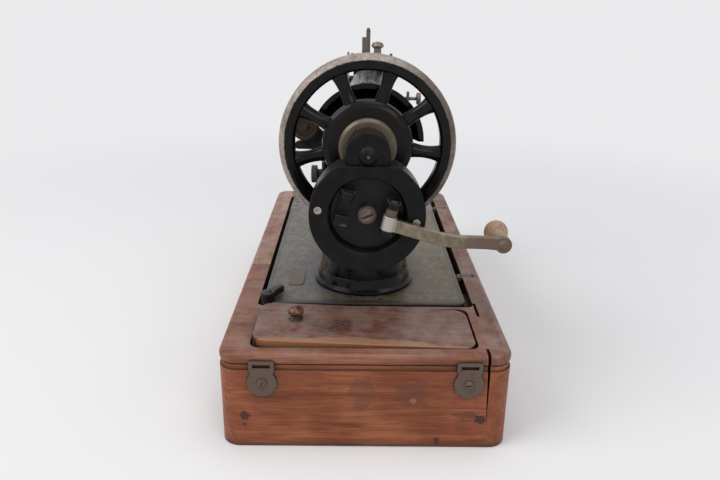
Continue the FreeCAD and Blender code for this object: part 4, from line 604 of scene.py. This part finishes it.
# Small pieces that the frame leaves to the scene
def block(name, low, high, material, body, bevel=0.0):
    """A box between two corners that rides on a body."""
    mesh = bpy.data.meshes.new(name)
    work = bmesh.new()
    bmesh.ops.create_cube(work, size=1.0)
    middle = [(a + b) / 2 for a, b in zip(low, high)]
    lengths = [b - a for a, b in zip(low, high)]
    bmesh.ops.scale(work, vec=lengths, verts=work.verts)
    bmesh.ops.translate(work, vec=middle, verts=work.verts)
    if bevel:
        bmesh.ops.bevel(work, geom=work.edges, offset=bevel, segments=2, affect="EDGES", profile=0.5)
    work.to_mesh(mesh)
    work.free()
    return place_piece(name, mesh, material, body)


def peg(name, centre, radius, height, material, body):
    """A short upright pin with a rounded head."""
    mesh = bpy.data.meshes.new(name)
    work = bmesh.new()
    bmesh.ops.create_cone(work, cap_ends=True, segments=24, radius1=radius, radius2=radius, depth=height)
    bmesh.ops.translate(work, vec=Vector(centre) + Vector((0, 0, height / 2)), verts=work.verts)
    rim = [edge for edge in work.edges if all(v.co.z > centre[2] + height - 1e-5 for v in edge.verts)]
    bmesh.ops.bevel(work, geom=rim, offset=radius * 0.45, segments=3, affect="EDGES", profile=0.5)
    work.to_mesh(mesh)
    work.free()
    return place_piece(name, mesh, material, body)


def place_piece(name, mesh, material, body):
    piece = bpy.data.objects.new(name, mesh)
    bpy.context.scene.collection.objects.link(piece)
    mesh.materials.append(material)
    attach(piece, body)
    return piece


def head_top_trim():
    """The thin plate on top of the head, with a thread peg at each side."""
    black = black_paint("plate_black", 0.30, 0.20, dust=0.10, tone=(0.010, 0.009, 0.008))
    brown = metal("peg_steel", (0.14, 0.11, 0.09), (0.08, 0.05, 0.035), 0.4, metallic=0.6)
    low = (-0.166, TOP_PLATE_Y[0], HEAD_TOP - 0.0004)
    high = (-0.146, TOP_PLATE_Y[1], HEAD_TOP + 0.0012)
    block("head_top_plate", low, high, black, "head", bevel=0.0004)
    for side, y in (("front", TOP_PLATE_Y[0] - PEG_CLEAR), ("rear", TOP_PLATE_Y[1] + PEG_CLEAR)):
        peg("thread_peg_" + side, (-0.160, y, HEAD_TOP - 0.002), PEG_R, PEG_LENGTH, brown, "head")


# Stage
def seen(tree):
    """1 for rays whose surroundings should look like the backdrop."""
    path = tree.nodes.new("ShaderNodeLightPath")
    total = path.outputs["Is Camera Ray"]
    for name in ("Is Glossy Ray", "Is Transmission Ray"):
        made = tree.nodes.new("ShaderNodeMath")
        made.operation = "MAXIMUM"
        tree.links.new(total, made.inputs[0])
        tree.links.new(path.outputs[name], made.inputs[1])
        total = made.outputs[0]
    return total


def make_world():
    world = bpy.data.worlds.new("studio")
    world.use_nodes = True
    tree = world.node_tree
    back = tree.nodes["Background"]
    fill = tree.nodes.new("ShaderNodeMix")
    fill.data_type = "RGBA"
    fill.inputs[6].default_value = (WORLD_FILL, WORLD_FILL, WORLD_FILL * 1.03, 1)
    fill.inputs[7].default_value = (*BACKDROP, 1)
    tree.links.new(seen(tree), fill.inputs[0])
    tree.links.new(fill.outputs[2], back.inputs["Color"])
    bpy.context.scene.world = world


def make_floor():
    """A pale floor that keeps the object's shadow and melts into the backdrop further off."""
    mesh = bpy.data.meshes.new("floor")
    reach = FLOOR_REACH
    mesh.from_pydata([(-reach, -reach, 0), (reach, -reach, 0), (reach, reach, 0), (-reach, reach, 0)], [],
                     [(0, 1, 2, 3)])
    floor = bpy.data.objects.new("floor", mesh)
    bpy.context.scene.collection.objects.link(floor)
    p = Paint("floor_paint")
    grain = p.noise(0.05, detail=4)
    p.set(Base_Color=p.mix(grain, tuple(c * 0.985 for c in FLOOR), FLOOR), Roughness=0.9)
    p.set(Specular_IOR_Level=0.1)
    glow = p.node("ShaderNodeEmission", {"Color": BACKDROP, "Strength": 1.0}).outputs[0]
    away = p.level(p.vector("LENGTH", p.where, out=1), *FLOOR_FADE)
    blend = p.node("ShaderNodeMixShader", {0: p.both(away, seen(p.tree)), 1: p.shader.outputs[0], 2: glow})
    output = next(n for n in p.tree.nodes if n.type == "OUTPUT_MATERIAL")
    p.tree.links.new(blend.outputs[0], output.inputs["Surface"])
    mesh.materials.append(p.material)


def lamp(name, place, size, watts, tint):
    light = bpy.data.lights.new(name, "AREA")
    light.shape = "RECTANGLE"
    light.size, light.size_y = size
    light.energy = watts
    light.color = tint
    made = bpy.data.objects.new(name, light)
    made.location = place
    made.rotation_euler = (LAMP_AIM - Vector(place)).to_track_quat("-Z", "Y").to_euler()
    bpy.context.scene.collection.objects.link(made)


def make_lights():
    lamp("window", (0.9, -1.9, 2.0), (1.8, 1.4), 34, (1.0, 0.995, 0.98))
    lamp("ceiling", (0.2, 0.3, 2.6), (2.2, 2.2), 26, (0.97, 0.985, 1.0))
    lamp("front", (2.4, 0.9, 1.3), (1.6, 1.2), 14, (1.0, 0.99, 0.97))


def make_camera():
    camera = bpy.data.cameras.new("camera")
    camera.sensor_width = 36.0
    camera.lens = CAMERA_LENS
    camera.clip_end = 400.0
    made = bpy.data.objects.new("camera", camera)
    made.rotation_mode = "QUATERNION"
    upright = CAMERA_LOOK.to_track_quat("-Z", "Y").to_matrix()
    roll = Matrix.Rotation(CAMERA_ROLL, 3, "Z")
    made.matrix_world = Matrix.Translation(CAMERA_AT) @ (upright @ roll).to_4x4()
    bpy.context.scene.collection.objects.link(made)
    bpy.context.scene.camera = made


dress_wood()
dress_blacks()
dress_metals()
head_top_trim()
make_world()
make_floor()
make_lights()
make_camera()
bpy.context.scene.view_settings.view_transform = "Standard"

bpy.context.view_layer.update()
